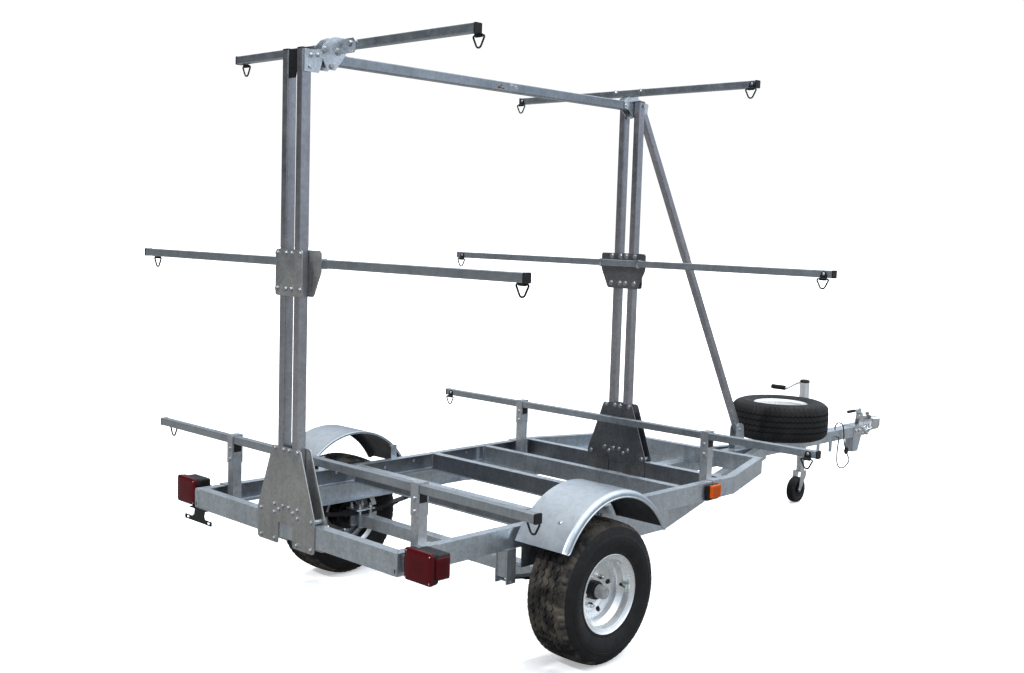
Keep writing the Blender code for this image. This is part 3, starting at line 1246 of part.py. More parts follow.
def smooth(points, count):
    """Points spaced evenly along a smooth curve through the given points."""
    knots = [Vector(point) for point in points]
    padded = [2 * knots[0] - knots[1]] + knots + [2 * knots[-1] - knots[-2]]
    fine = []
    for before, a, b, after in zip(padded, padded[1:], padded[2:], padded[3:]):
        for step in range(16):
            t = step / 16
            fine.append(0.5 * (2 * a + (b - before) * t + (2 * before - 5 * a + 4 * b - after) * t ** 2
                               + (3 * a - before - 3 * b + after) * t ** 3))
    fine.append(knots[-1])
    travel = [0.0]
    for a, b in zip(fine, fine[1:]):
        travel.append(travel[-1] + (b - a).length)
    spaced = []
    index = 0
    for number in range(count):
        wanted = travel[-1] * number / (count - 1)
        while index < len(fine) - 2 and travel[index + 1] < wanted:
            index += 1
        share = (wanted - travel[index]) / (travel[index + 1] - travel[index])
        spaced.append(fine[index].lerp(fine[index + 1], share))
    return spaced


def harness_cord():
    """The free cord, a tube along its route."""
    data = bpy.data.curves.new("cord", "CURVE")
    data.dimensions = "3D"
    data.bevel_depth = CORD_R
    data.bevel_resolution = 2
    data.use_fill_caps = True
    line = data.splines.new("POLY")
    route = smooth(cord_route(), CORD_POINTS)
    line.points.add(len(route) - 1)
    for point, place_at in zip(line.points, route):
        point.co = (*place_at, 1.0)
    made = bpy.data.objects.new("cord", data)
    bpy.context.collection.objects.link(made)
    return made


def harness_plug():
    """The flat connector, threaded on the cord at its middle stretch."""
    before, after = Vector(cord_route()[7]), Vector(cord_route()[8])
    middle = (before + after) / 2
    along = (after - before).normalized()
    body = box((-0.0065, 0.0065), (-PLUG_HALF, PLUG_HALF), (-PLUG_LONG / 2, PLUG_LONG / 2))
    body = cut(body, rod("Z", 0, 0, CORD_R + PLUG_BORE_GAP, -PLUG_LONG, PLUG_LONG, sides=10))
    turn = AXES["Z"].rotation_difference(along).to_matrix().to_4x4()
    body.data.transform(Matrix.Translation(middle) @ turn)
    return body


def add_tiers(trailer):
    """The six load bars and their twelve lashing rings."""
    plate_front = REAR_MAST_Y + MAST_DEEP + GAP + PLATE
    plate_rear = FRONT_MAST_Y - GAP - PLATE
    tiers = (("lower_bar_rear", LOWER_BAR_HALF, LOWER_BAR_TOP, LOWER_BAR_REAR_Y, 1, RING_INSET, ()),
             ("lower_bar_front", LOWER_BAR_HALF, LOWER_BAR_TOP, LOWER_BAR_FRONT_Y, -1, RING_INSET, ()),
             ("mid_bar_rear", MID_BAR_HALF, MID_BAR_TOP, plate_front + GAP, 1, RING_INSET, ()),
             ("mid_bar_front", MID_BAR_HALF, MID_BAR_TOP, plate_rear - GAP - BAR, -1, RING_INSET, ()),
             ("top_bar_rear", TOP_BAR_HALF, TOP_BAR_TOP, TOP_BAR_REAR_Y, 1, RING_INSET_TOP,
              top_bar_bolts(REAR_MAST_Y)),
             ("top_bar_front", TOP_BAR_HALF, TOP_BAR_TOP, TOP_BAR_FRONT_Y, -1, RING_INSET_TOP,
              top_bar_bolts(FRONT_MAST_Y)))
    for name, half, top, rear_y, ring_side, inset, holes in tiers:
        publish(load_bar(half, top, rear_y, ring_side, inset, holes), name, STEEL, trailer)
        face = rear_y + BAR if ring_side > 0 else rear_y
        y, z = eye_place(face, ring_side, top - BAR)
        for hand, side in (("left", -1), ("right", 1)):
            pivot = (side * (half - inset), y, z)
            ring_name = name.replace("bar", "ring") + "_" + hand
            publish(lashing_ring(), ring_name, BLACK_STEEL, trailer, pivot)


def add_masts(trailer):
    """Mast tubes, base plates, middle and top brackets, the spreader and the brace."""
    for place_name, rear_y, facing in (("rear", REAR_MAST_Y, 1), ("front", FRONT_MAST_Y, -1)):
        for hand, side in (("left", -1), ("right", 1)):
            publish(mast_tube(rear_y, side), f"mast_{place_name}_{hand}", STEEL, trailer)
        publish(mast_base(rear_y), f"mast_base_{place_name}", STEEL, trailer)
        publish(mid_bracket(rear_y, facing), f"mid_bracket_{place_name}", STEEL, trailer)
    publish(rear_top_bracket(), "top_bracket_rear", BRIGHT, trailer)
    publish(front_top_bracket(), "top_bracket_front", BRIGHT, trailer)
    publish(spreader(), "spreader", STEEL, trailer)
    publish(brace(), "brace", STEEL, trailer)


def add_chassis(trailer):
    """Frame, drawbar, risers, fenders, lights, spare and coupler."""
    publish(ladder_frame(), "ladder_frame", STEEL, trailer)
    publish(drawbar(), "drawbar", STEEL, trailer)
    for place_name, y in (("rear", LOWER_BAR_REAR_Y), ("front", LOWER_BAR_FRONT_Y)):
        for hand, side in (("left", -1), ("right", 1)):
            publish(riser(y, side), f"riser_{place_name}_{hand}", STEEL, trailer)
    right = fender()
    publish(mirrored(right, keep=True), "fender_left", STEEL, trailer)
    publish(right, "fender_right", STEEL, trailer)
    for hand, side in (("left", -1), ("right", 1)):
        publish(tail_light(side), f"tail_light_{hand}", RED_LENS, trailer)
        publish(side_marker(side), f"side_marker_{hand}", AMBER_LENS, trailer)
    spare_centre = (0, SPARE_Y, SPARE_Z)
    publish(tyre("Z", spare_centre), "spare_tyre", RUBBER, trailer, spare_centre)
    publish(rim("Z", spare_centre, hub=False), "spare_rim", BRIGHT, trailer, spare_centre)
    publish(coupler(), "coupler", BRIGHT, trailer)
    publish(coupler_lever(), "coupler_lever", BRIGHT, trailer, (0, *LEVER_YZ))


def add_running_gear(trailer):
    """Axle, springs and the two road wheels."""
    publish(axle(), "axle", STEEL, trailer, (0, WHEEL_Y, TYRE_R))
    for hand, side in (("left", -1), ("right", 1)):
        publish(leaf_spring(side), f"leaf_spring_{hand}", BLACK_STEEL, trailer)
        centre = (side * WHEEL_X, WHEEL_Y, TYRE_R)
        publish(tyre("X", centre), f"tyre_{hand}", RUBBER, trailer, centre)
        wheel = rim("X", (WHEEL_X, WHEEL_Y, TYRE_R), hub=True)
        publish(wheel if side > 0 else mirrored(wheel), f"wheel_rim_{hand}", BRIGHT, trailer, centre)


def add_jack(trailer):
    """The swing-up jack and its caster."""
    swivel = (JACK_X, JACK_Y, JACK_PIVOT_Z)
    publish(jack_tube(), "jack_tube", STEEL, trailer, swivel)
    publish(jack_leg(), "jack_leg", STEEL, trailer, (JACK_X, JACK_Y, JACK_LEG_BOTTOM))
    publish(jack_crank(), "jack_crank", STEEL, trailer, (JACK_X, JACK_Y, CRANK_Z))
    publish(jack_fork(), "jack_fork", BRIGHT, trailer, (JACK_X, JACK_Y, JACK_LEG_BOTTOM))
    publish(jack_wheel(), "jack_wheel", RUBBER, trailer, (JACK_X, JACK_Y - CASTER_TRAIL, CASTER_R))


def main():
    """Build the trailer under one empty that centres it on its origin."""
    clear_scene()
    trailer = bpy.data.objects.new("trailer", None)
    bpy.context.collection.objects.link(trailer)
    trailer.location = (0, -MIDDLE_Y, 0)
    add_chassis(trailer)
    add_masts(trailer)
    add_tiers(trailer)
    add_running_gear(trailer)
    add_jack(trailer)
    publish(harness_cord(), "harness_cable", BLACK_PLASTIC, trailer)
    publish(harness_plug(), "harness_plug", BLACK_PLASTIC, trailer)
    bpy.context.view_layer.update()


main()
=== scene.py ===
import json
from math import asin, atan2, copysign, cos, hypot, pi, radians, sin, sqrt, tau

import bmesh
import bpy
from bpy.props import FloatProperty, FloatVectorProperty, IntProperty, PointerProperty
from mathutils import Matrix, Vector


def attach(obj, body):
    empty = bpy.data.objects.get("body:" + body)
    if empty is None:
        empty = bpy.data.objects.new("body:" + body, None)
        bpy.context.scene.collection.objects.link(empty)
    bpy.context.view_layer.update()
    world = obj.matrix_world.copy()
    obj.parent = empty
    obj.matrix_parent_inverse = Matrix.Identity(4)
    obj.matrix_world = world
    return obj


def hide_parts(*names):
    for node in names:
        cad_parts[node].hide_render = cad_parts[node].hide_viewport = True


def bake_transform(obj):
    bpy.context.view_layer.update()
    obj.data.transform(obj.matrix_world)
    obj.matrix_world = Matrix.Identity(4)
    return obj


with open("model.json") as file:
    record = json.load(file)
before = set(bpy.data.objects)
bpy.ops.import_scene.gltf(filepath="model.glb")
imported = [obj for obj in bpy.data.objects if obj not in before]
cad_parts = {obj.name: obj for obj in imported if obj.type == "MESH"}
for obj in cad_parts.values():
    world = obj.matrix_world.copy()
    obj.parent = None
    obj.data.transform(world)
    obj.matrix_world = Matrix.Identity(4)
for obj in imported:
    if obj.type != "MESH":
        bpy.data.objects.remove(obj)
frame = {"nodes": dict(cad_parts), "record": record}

bl_info = {
    "name": "Kayak trailer",
    "version": (1, 0, 0),
    "blender": (4, 5, 0),
    "location": "3D View > Sidebar > Trailer",
    "description": "Dresses a two-wheeled kayak trailer: finishes, wheels, bars, rings, lights and jack",
    "category": "Object",
}

# The layout is drawn with y = 0 at the rear face of the rear lower bar, and shifted by this much
MIDDLE_Y = 2.07875
AXES = {"X": Vector((1, 0, 0)), "Y": Vector((0, 1, 0)), "Z": Vector((0, 0, 1))}
ORIGIN = (0, 0, 0)
SIDES = (("left", -1), ("right", 1))
BOTH = (-1, 1)
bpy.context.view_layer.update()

# The camera, solved from the photograph: focal length in its pixels, its width, turns and place
FOCAL, PHOTO_WIDE, SENSOR = 1173.57, 1024, 36.0
AZIMUTH, ELEVATION, ROLL = (radians(turn) for turn in (43.963, 5.174, 1.753))
EYE = (3.3793, -2.5059 - MIDDLE_Y, 1.5378)
FLOOR_REACH, FLOOR_Z = 60.0, -0.0006
SUN_FROM, SUN_POWER, SUN_WIDE, SUN_COLOUR = Vector((0.1, 0.72, -0.69)), 1.5, radians(2.5), (1.0, 0.985, 0.95)
WHITE, BLACK = (1.0, 1.0, 1.0, 1.0), (0.0, 0.0, 0.0, 1.0)

# Gaps between faces that would otherwise lie in one plane
GAP, LAP = 0.0003, 0.0002
FRAME_TOP, TONGUE_TOP = 0.504, 0.4272
REAR_MAST_Y, FRONT_MAST_Y = -0.1205, 1.72
MASTS = (("rear", REAR_MAST_Y), ("front", FRONT_MAST_Y))
MAST_DEEP, MAST_WIDE, MAST_INNER, MAST_TOP = 0.038, 0.032, 0.0257, 2.133
# The front mast's plates take a darker copy of the plate steel: painted shade and painted dark reflection
PLATE, PLATE_FINISH = 0.0042, {"rear": "plate_steel", "front": "plate_dark"}
# A mast plate's outer face, out from the mast
PLATE_OUT = 0.0045
JACK = Vector((-0.115, 3.595, 0.0))
BAR = 0.03
# name: half length, top, rear face, side of the rings, inset of the rings
BARS = {
    "lower_bar_rear": (1.08, 0.704, 0.0, 1, 0.04),
    "lower_bar_front": (1.08, 0.704, 1.633, -1, 0.04),
    "mid_bar_rear": (1.0775, 1.418, REAR_MAST_Y + MAST_DEEP + PLATE_OUT + GAP, 1, 0.04),
    "mid_bar_front": (1.0775, 1.418, FRONT_MAST_Y - PLATE_OUT - 0.0303, -1, 0.04),
    "top_bar_rear": (0.675, 2.183, 0.089, 1, 0.02),
    "top_bar_front": (0.675, 2.183, 1.699, -1, 0.02),
}
RAIL_HALF, RAIL_WALL, CHANNEL_FLANGE = 0.604, 0.0032, 0.038
CROSSMEMBERS_Y = (0.635, 1.085, 1.41, 1.72)
# The frame's inside, under its top faces, where painted shade darkens the steel, as (middle, half) on each
# axis, with less painted shade on the web of one crossmember
FRAME_SHADE_BOX = {"X": (0.0, RAIL_HALF - 0.0015), "Y": (0.845 - MIDDLE_Y, 0.895), "Z": (0.469, 0.0342)}
FRAME_SHADE_DARK, LESS_SHADE_WEB, LESS_SHADE_HALF, LESS_SHADE_SHARE = 0.38, CROSSMEMBERS_Y[2] - MIDDLE_Y, 0.01, 0.65
SPREADER_HALF, SPREADER_TOP = 0.019, 2.13
BRACE_TOP, BRACE_FOOT, BRACE_HALF = Vector((0.0, 1.8, 2.113)), Vector((0.0, 2.724, 0.533)), 0.016
EYE_OUT, EYE_DOWN = 0.007, 0.0047
RISER_INNER, RISERS_Y = 0.527, (0.0, 1.633)
HEAD_HIGH = 0.0055
TYRE_R, RIM_TURN, BOLT_CIRCLE = 0.2605, 0.12, 0.0572
WHEEL, SPARE = Vector((0.737, 0.684, TYRE_R)), Vector((0.0, 3.1435, 0.5505))
# Tyre, rim, body, the tread's finish, middle, and the turn from lying flat to facing right, left or up
WHEELS = (
    ("tyre_right", "wheel_rim_right", "wheel_right", "tread", WHEEL,
     Matrix(((0, 0, 1), (1, 0, 0), (0, 1, 0)))),
    ("tyre_left", "wheel_rim_left", "wheel_left", "tread", Vector((-WHEEL.x, WHEEL.y, WHEEL.z)),
     Matrix(((0, 0, -1), (1, 0, 0), (0, 1, 0)))),
    ("spare_tyre", "spare_rim", "chassis", "spare_tread", SPARE, Matrix.Identity(3)),
)
SPRING_X, SPRING_TOP, SPRING_HALF, SPRING_RISE, SPRING_SEAT, LEAF = 0.585, 0.3038, 0.29, 0.024, 0.05, 0.006
FENDER_IN, FENDER_OUT, FENDER_R, FENDER_Z, FENDER_CHORD = 0.62, 0.855, 0.318, 0.322, 0.285
# The fenders' stays and the lamps' brackets against the rails
STAY = (0.6043, 0.6083)
LEVER = Vector((0.0, 4.062, 0.494))
# The harness cord's route, as in the part's source
CORD_R = 0.0036
CORD_ROUTE = ((0.012, 3.748, 0.4275), (0.012, 3.748, 0.4415), (0.016, 3.752, 0.4595), (0.034, 3.764, 0.4695),
              (0.0472, 3.778, 0.4495), (0.0502, 3.786, 0.405), (0.0502, 3.796, 0.35), (0.0502, 3.818, 0.312),
              (0.0502, 3.836, 0.284), (0.0502, 3.85, 0.262), (0.0502, 3.868, 0.24), (0.0502, 3.845, 0.213),
              (0.0502, 3.8, 0.2), (0.0502, 3.752, 0.208), (0.0502, 3.724, 0.236), (0.0502, 3.717, 0.285),
              (0.0522, 3.718, 0.34), (0.0562, 3.719, 0.378), (0.0522, 3.719, 0.3915), (0.0386, 3.719, 0.3915))
PLUG_KNOTS = (7, 8)


# Sizes and colours that a user would change

def metres(name, text, value):
    """A length to set in the panel."""
    return FloatProperty(name=name, description=text, default=value, unit="LENGTH")


def tint(name, text, colour):
    """A colour to set in the panel."""
    return FloatVectorProperty(name=name, description=text, default=colour, subtype="COLOR")


class TrailerSizes(bpy.types.PropertyGroup):
    """Sizes of the fine surface"""

    tube_corner: metres("Tube corner", "Outer corner radius of the square tubes", 0.0034)
    groove_depth: metres("Groove depth", "Depth of the tyres' tread grooves", 0.0065)
    groove_width: metres("Groove width", "Width of the tyres' tread grooves", 0.0065)
    zigzag: metres("Zigzag", "How far the tread grooves swing to each side", 0.0044)
    tread_pitches: IntProperty(name="Tread pitches", description="Zigzags round one tyre", default=60)
    spangle: FloatProperty(name="Spangle", description="Zinc crystals per metre on galvanised steel",
                           default=95.0)


class TrailerColours(bpy.types.PropertyGroup):
    """Colours of the finishes"""

    galvanised: tint("Galvanised steel", "Colour of hot-dip galvanised steel", (0.47, 0.51, 0.545))
    bright_zinc: tint("Bright zinc", "Colour of zinc-plated brackets", (0.62, 0.645, 0.665))
    rubber: tint("Rubber", "Colour of the tyres", (0.0085, 0.0085, 0.0095))
    dust: tint("Dust", "Colour of the road dust on the tread", (0.145, 0.125, 0.102))
    red_lens: tint("Red lens", "Colour of the tail lights", (0.085, 0.005, 0.008))
    amber_lens: tint("Amber lens", "Colour of the side markers", (0.72, 0.115, 0.012))


# Materials

def fill(tree, socket, value):
    """Link a socket to another one, or give it its value."""
    if isinstance(value, bpy.types.NodeSocket):
        tree.links.new(value, socket)
    elif value is not None:
        socket.default_value = value


def wire(tree, node, **values):
    """Fill a node's inputs by name."""
    for key, value in values.items():
        fill(tree, node.inputs[key.replace("_", " ")], value)


def put(tree, kind, settings=(), **values):
    """Add a shader node of a kind, with its settings and its inputs by name."""
    made = tree.nodes.new("ShaderNode" + kind)
    for key, value in settings:
        setattr(made, key, value)
    wire(tree, made, **values)
    return made


def blank(name, colour, roughness, metallic, **values):
    """A material with a plain Principled shader: (material, tree, shader)."""
    made = bpy.data.materials.new(name + "_finish")
    made.use_nodes = True
    made.diffuse_color = (*colour, 1.0)
    tree = made.node_tree
    shader = tree.nodes["Principled BSDF"]
    wire(tree, shader, Base_Color=(*colour, 1.0), Roughness=roughness, Metallic=metallic, **values)
    return made, tree, shader


def shade(colour, factor):
    """A colour made lighter or darker, as four values."""
    return (*(min(1.0, c * factor) for c in colour), 1.0)


def ramp(tree, value, *stops):
    """A colour ramp over a value, from stops of (place, colour); a third one lies between the first two."""
    made = put(tree, "ValToRGB", Fac=value)
    elements = made.color_ramp.elements
    for index, (where, colour) in enumerate(stops):
        stop = elements[index] if index < 2 else elements.new(where)
        stop.position, stop.color = where, colour
    return made.outputs["Color"]


def mix(tree, kind, factor, first, second):
    """A colour mix of two sockets or colours."""
    made = put(tree, "Mix", (("data_type", "RGBA"), ("blend_type", kind)))
    for index, value in ((0, factor), (6, first), (7, second)):
        fill(tree, made.inputs[index], value)
    return made.outputs[2]


def maths(tree, operation, *values):
    """A math node on sockets and numbers."""
    made = put(tree, "Math", (("operation", operation),))
    for value, socket in zip(values, made.inputs):
        fill(tree, socket, value)
    return made.outputs["Value"]


def noise(tree, coords, scale, detail=4.0, rough=0.55):
    """A noise value over the object."""
    return put(tree, "TexNoise", Vector=coords, Scale=scale, Detail=detail, Roughness=rough).outputs["Fac"]


def to_range(tree, value, low, high, from_low=0.25, from_high=0.75):
    """A value carried from one range to another."""
    return put(tree, "MapRange", Value=value, From_Min=from_low, From_Max=from_high, To_Min=low,
               To_Max=high).outputs["Result"]


def bump(tree, height, strength, distance, normal=None):
    """A bump from a height."""
    return put(tree, "Bump", Height=height, Strength=strength, Distance=distance,
               Normal=normal).outputs["Normal"]


def object_coords(tree):
    """Coordinates that stay with the piece."""
    return put(tree, "TexCoord").outputs["Object"]


def zinc(name, colour, roughness, spangle, contrast, metallic=0.86, vary=0.11):
    """Galvanised or zinc-plated steel: crystals, clouding, scuffs and dull streaks."""
    made, tree, shader = blank(name, colour, roughness, metallic)
    coords = object_coords(tree)
    cells = put(tree, "TexVoronoi", Vector=coords, Scale=spangle, Randomness=1.0)
    grey = put(tree, "SeparateColor", Color=cells.outputs["Color"]).outputs
    crystal = ramp(tree, grey["Red"], (0.05, shade(colour, 1 - contrast)),
                   (0.95, shade(colour, 1 + contrast)))
    clouds = ramp(tree, noise(tree, coords, 5.5), (0.3, (0.8, 0.81, 0.83, 1)), (0.72, WHITE))
    stretched = put(tree, "Mapping", Vector=coords, Scale=(40.0, 40.0, 3.5)).outputs["Vector"]
    streaks = ramp(tree, noise(tree, stretched, 1.0, 3.0), (0.5, WHITE), (0.75, (0.86, 0.855, 0.84, 1)))
    fine = bump(tree, noise(tree, coords, 420.0, 2.0), 0.1, 0.0003)
    wire(tree, shader,
         Base_Color=mix(tree, "MULTIPLY", 1.0, mix(tree, "MULTIPLY", 1.0, crystal, clouds), streaks),
         Roughness=to_range(tree, noise(tree, coords, 26.0), roughness - vary * 0.8, roughness + vary),
         Normal=bump(tree, grey["Green"], 0.06, 0.0004, fine))
    return made


def sheltered(made):
    """Paint shade onto a finish inside the frame and under its top faces, with less of it on one
    crossmember's web.
    """
    tree = made.node_tree
    colour = tree.nodes["Principled BSDF"].inputs["Base Color"]
    spot = put(tree, "SeparateXYZ", Vector=object_coords(tree)).outputs
    shade_mask = maths(tree, "MULTIPLY_ADD", maths(tree, "COMPARE", spot["Y"], LESS_SHADE_WEB, LESS_SHADE_HALF),
                 -LESS_SHADE_SHARE, 1.0)
    for axis, (middle, half) in FRAME_SHADE_BOX.items():
        shade_mask = maths(tree, "MULTIPLY", shade_mask, maths(tree, "COMPARE", spot[axis], middle, half))
    # Painted shade: the frame's colour is multiplied towards a dark grey inside the frame
    fill(tree, colour, mix(tree, "MULTIPLY", shade_mask, colour.links[0].from_socket,
                           (FRAME_SHADE_DARK, FRAME_SHADE_DARK, FRAME_SHADE_DARK * 1.04, 1)))


def rubber(name, colour, dust, reach, roughness):
    """Tyre rubber, with road dust gathered unevenly on it."""
    _, tree, shader = blank(name, colour, roughness, 0.0, Specular_IOR_Level=0.22)
    coords = object_coords(tree)
    patches = ramp(tree, noise(tree, coords, 14.0, 6.0, 0.65), (0.42, BLACK),
                   (0.72, (reach, reach, reach, 1)))
    wire(tree, shader,
         Base_Color=mix(tree, "MIX", patches, shade(colour, 1), shade(dust, 1)),
         Roughness=to_range(tree, noise(tree, coords, 60.0), roughness - 0.12, roughness + 0.14),
         Normal=bump(tree, noise(tree, coords, 700.0, 3.0), 0.25, 0.0004))


def plastic(name, colour, roughness, grain=500.0):
    """Moulded plastic or a painted coating with a fine grain and faint scuffs."""
    _, tree, shader = blank(name, colour, roughness, 0.0, Specular_IOR_Level=0.3)
    coords = object_coords(tree)
    wire(tree, shader,
         Base_Color=ramp(tree, noise(tree, coords, 45.0, 5.0, 0.7), (0.55, shade(colour, 0.9)),
                         (0.8, shade(colour, 2.2))),
         Roughness=to_range(tree, noise(tree, coords, 90.0), roughness - 0.08, roughness + 0.1),
         Normal=bump(tree, noise(tree, coords, grain, 2.0), 0.15, 0.0002))


def lens(name, colour):
    """A clear coloured lens with prisms moulded on its inner face, and a painted glint in each prism: lighter
    in its middle, darker at its edges.
    """
    _, tree, shader = blank(name, colour, 0.16, 0.0, Specular_IOR_Level=0.12, Coat_Weight=0.04,
                            Coat_Roughness=0.05)
    prisms = put(tree, "TexVoronoi", (("feature", "F1"), ("distance", "CHEBYCHEV")),
                 Vector=object_coords(tree), Scale=260.0, Randomness=0.0).outputs["Distance"]
    # Painted glints: the lens colour is lighter in each prism's middle and darker at its edges
    wire(tree, shader, Base_Color=ramp(tree, prisms, (0.0, shade(colour, 1.5)), (0.55, shade(colour, 0.55))),
         Normal=bump(tree, prisms, 0.35, 0.0012))


def finishes():
    """Make every material once, by name."""
    spangle, colours = bpy.context.scene.trailer_sizes.spangle, bpy.context.scene.trailer_colours
    galvanised, bright, dust, tyre = (tuple(getattr(colours, key))
                                      for key in ("galvanised", "bright_zinc", "dust", "rubber"))
    # Colour and how much lighter, roughness, crystals against plain ones, contrast, metallic, variation
    for name, colour, lighter, roughness, crystals, *rest in (
            ("galvanised", galvanised, 1.18, 0.38, 1, 0.1, 0.9),
            ("frame_steel", galvanised, 1.18, 0.38, 1, 0.1, 0.9),
            ("galvanised_bar", galvanised, 0.9, 0.32, 0.8, 0.06, 0.9),
            ("spreader_steel", galvanised, 0.72, 0.3, 0.8, 0.08, 0.9),
            ("mast_steel", (0.42, 0.415, 0.44), 1, 0.3, 0.8, 0.07, 0.92),
            ("plate_steel", (0.46, 0.465, 0.455), 1, 0.4, 1.2, 0.1, 0.88),
            ("riser_steel", (0.54, 0.56, 0.58), 1, 0.36, 1, 0.1, 0.8),
            # A dark copy of the fender's galvanised tone for its underside: painted shade
            ("fender_inside", (0.085, 0.088, 0.095), 1, 0.5, 1, 0.1, 0.6),
            # A darker copy of the plate steel for the front mast's plates: painted shade and painted dark
            # reflection
            ("plate_dark", (0.2, 0.205, 0.215), 1, 0.34, 1.2, 0.12, 0.92),
            ("weld", galvanised, 0.72, 0.5, 2, 0.15),
            ("rolled_sheet", galvanised, 1.25, 0.3, 0.8, 0.04, 0.88, 0.04),
            ("bright_zinc", bright, 1.15, 0.25, 1.6, 0.12, 0.95),
            ("rim_zinc", (0.93, 0.94, 0.94), 1, 0.28, 1.4, 0.04, 0.72, 0.02),
            # A dark copy of the rim's zinc for the inside of the barrel and the back of the disc: painted
            # shade
            ("rim_inside", (0.2, 0.2, 0.21), 1, 0.3, 1, 0.1, 0.95, 0.04),
            ("bolt_zinc", bright, 0.8, 0.32, 3, 0.08, 0.95),
            ("jack_silver", (0.84, 0.83, 0.86), 1, 0.32, 1, 0.04, 0.45),
            ("chrome", (0.78, 0.79, 0.8), 1, 0.18, 3, 0.04, 1.0)):
        made = zinc(name, shade(colour, lighter)[:3], roughness, spangle * crystals, *rest)
        # The frame's steel gets painted shade inside the frame
        if name == "frame_steel":
            sheltered(made)
    for name, colour, lighter, reach, roughness in (("tyre", tyre, 1, 0.07, 0.6),
                                                    ("tread", tyre, 1.5, 1.0, 0.82),
                                                    ("spare_tread", tyre, 1.2, 0.06, 0.66),
                                                    ("caster_rubber", (0.01, 0.01, 0.011), 1, 0.25, 0.62),
                                                    ("grip_rubber", (0.008, 0.008, 0.009), 1, 0.08, 0.6)):
        rubber(name, shade(colour, lighter)[:3], dust, reach, roughness)
    for row in (("black_steel", (0.009, 0.009, 0.01), 0.42), ("black_plastic", (0.01, 0.01, 0.011), 0.5),
                ("cable_sheath", (0.007, 0.007, 0.008), 0.5, 900.0),
                ("lamp_housing", (0.006, 0.006, 0.007), 0.46), ("dull_cap", (0.3, 0.31, 0.31), 0.42),
                ("tan_knob", (0.2, 0.17, 0.13), 0.45), ("green_cap", (0.03, 0.28, 0.09), 0.4),
                ("rust", (0.17, 0.055, 0.02), 0.85), ("pale_chip", (0.62, 0.63, 0.62), 0.6)):
        plastic(*row)
    for name in ("red_lens", "amber_lens"):
        lens(name, tuple(getattr(colours, name)))


# Mesh tools

def meshes(count):
    """A number of empty meshes."""
    return [bmesh.new() for _ in range(count)]


def ends(side, near, far):
    """Two distances from the middle, on one side, as low and high."""
    return sorted((side * near, side * far))


def across(points, first=1, second=-1):
    """Points in reverse order, mirrored in their second value or in their first."""
    return [(first * a, second * b) for a, b in reversed(points)]


def repeated(section, count, first, pitch):
    """A short profile repeated along its axis."""
    return [(radius, first + pitch * step + along) for step in range(count) for radius, along in section]


def polar(radius, angle, a=0, b=0):
    """The point at an angle on a circle round (a, b)."""
    return a + radius * cos(angle), b + radius * sin(angle)


def place(axis, along, first, second):
    """A point from its place along an axis and its two other values, in X, Y, Z order."""
    return Vector({"X": (along, first, second), "Y": (first, along, second),
                   "Z": (first, second, along)}[axis])


def loft(bm, rings, loop=False):
    """Skin a row of equal rings of points, and close its ends or join them."""
    made = [[bm.verts.new(point) for point in ring] for ring in rings]
    ahead = made[1:] + (made[:1] if loop else [])
    for ring, after in zip(made, ahead):
        for index in range(len(ring)):
            other = (index + 1) % len(ring)
            bm.faces.new((ring[index], ring[other], after[other], after[index]))
    if not loop:
        bm.faces.new(made[0][::-1])
        bm.faces.new(made[-1])


def rows_of(axis, *rows):
    """Rings of points from rows of (place along an axis, outline of (a, b) points across it)."""
    return [[place(axis, along, a, b) for a, b in outline] for along, outline in rows]


def rounded(first, second, radius, steps=4):
    """A rounded rectangle between two pairs of values, as (a, b) points, with its flat sides held flat."""
    points = []
    hold = radius * 0.25
    corners = ((first[1], second[1], 0), (first[0], second[1], 1), (first[0], second[0], 2),
               (first[1], second[0], 3))
    for a, b, quarter in corners:
        centre_a = a - radius if quarter in (0, 3) else a + radius
        centre_b = b - radius if quarter in (0, 1) else b + radius
        for step in range(-1, steps + 2):
            angle = pi / 2 * (quarter + min(max(step, 0), steps) / steps)
            along = hold if step > steps else -hold if step < 0 else 0.0
            points.append((centre_a + radius * cos(angle) - along * sin(angle),
                           centre_b + radius * sin(angle) + along * cos(angle)))
    return points


def grown(outline, amount):
    """An outline moved outward by an amount, from its own middle."""
    middle = (sum(a for a, _ in outline) / len(outline), sum(b for _, b in outline) / len(outline))
    made = []
    for a, b in outline:
        away = Vector((a - middle[0], b - middle[1]))
        made.append((a + copysign(amount, away.x) if abs(away.x) > 1e-6 else a,
                     b + copysign(amount, away.y) if abs(away.y) > 1e-6 else b))
    return made


def bar(bm, axis, first, second, low, high, radius=0.003, edge=0.0006, steps=4):
    """A rounded rectangular bar along an axis, with its ends eased."""
    outline = rounded(first, second, radius, steps)
    small = grown(outline, -edge)
    loft(bm, rows_of(axis, (low, small), (low + edge, outline), (high - edge, outline), (high, small)))


def square_tube(bm, axis, first, second, low, high, wall, radius):
    """An open-ended square tube with rounded corners."""
    outer = rounded(first, second, radius)
    inner = rounded((first[0] + wall, first[1] - wall), (second[0] + wall, second[1] - wall), radius * 0.4)
    loft(bm, rows_of(axis, (low, inner), (low, outer), (high, outer), (high, inner)), loop=True)


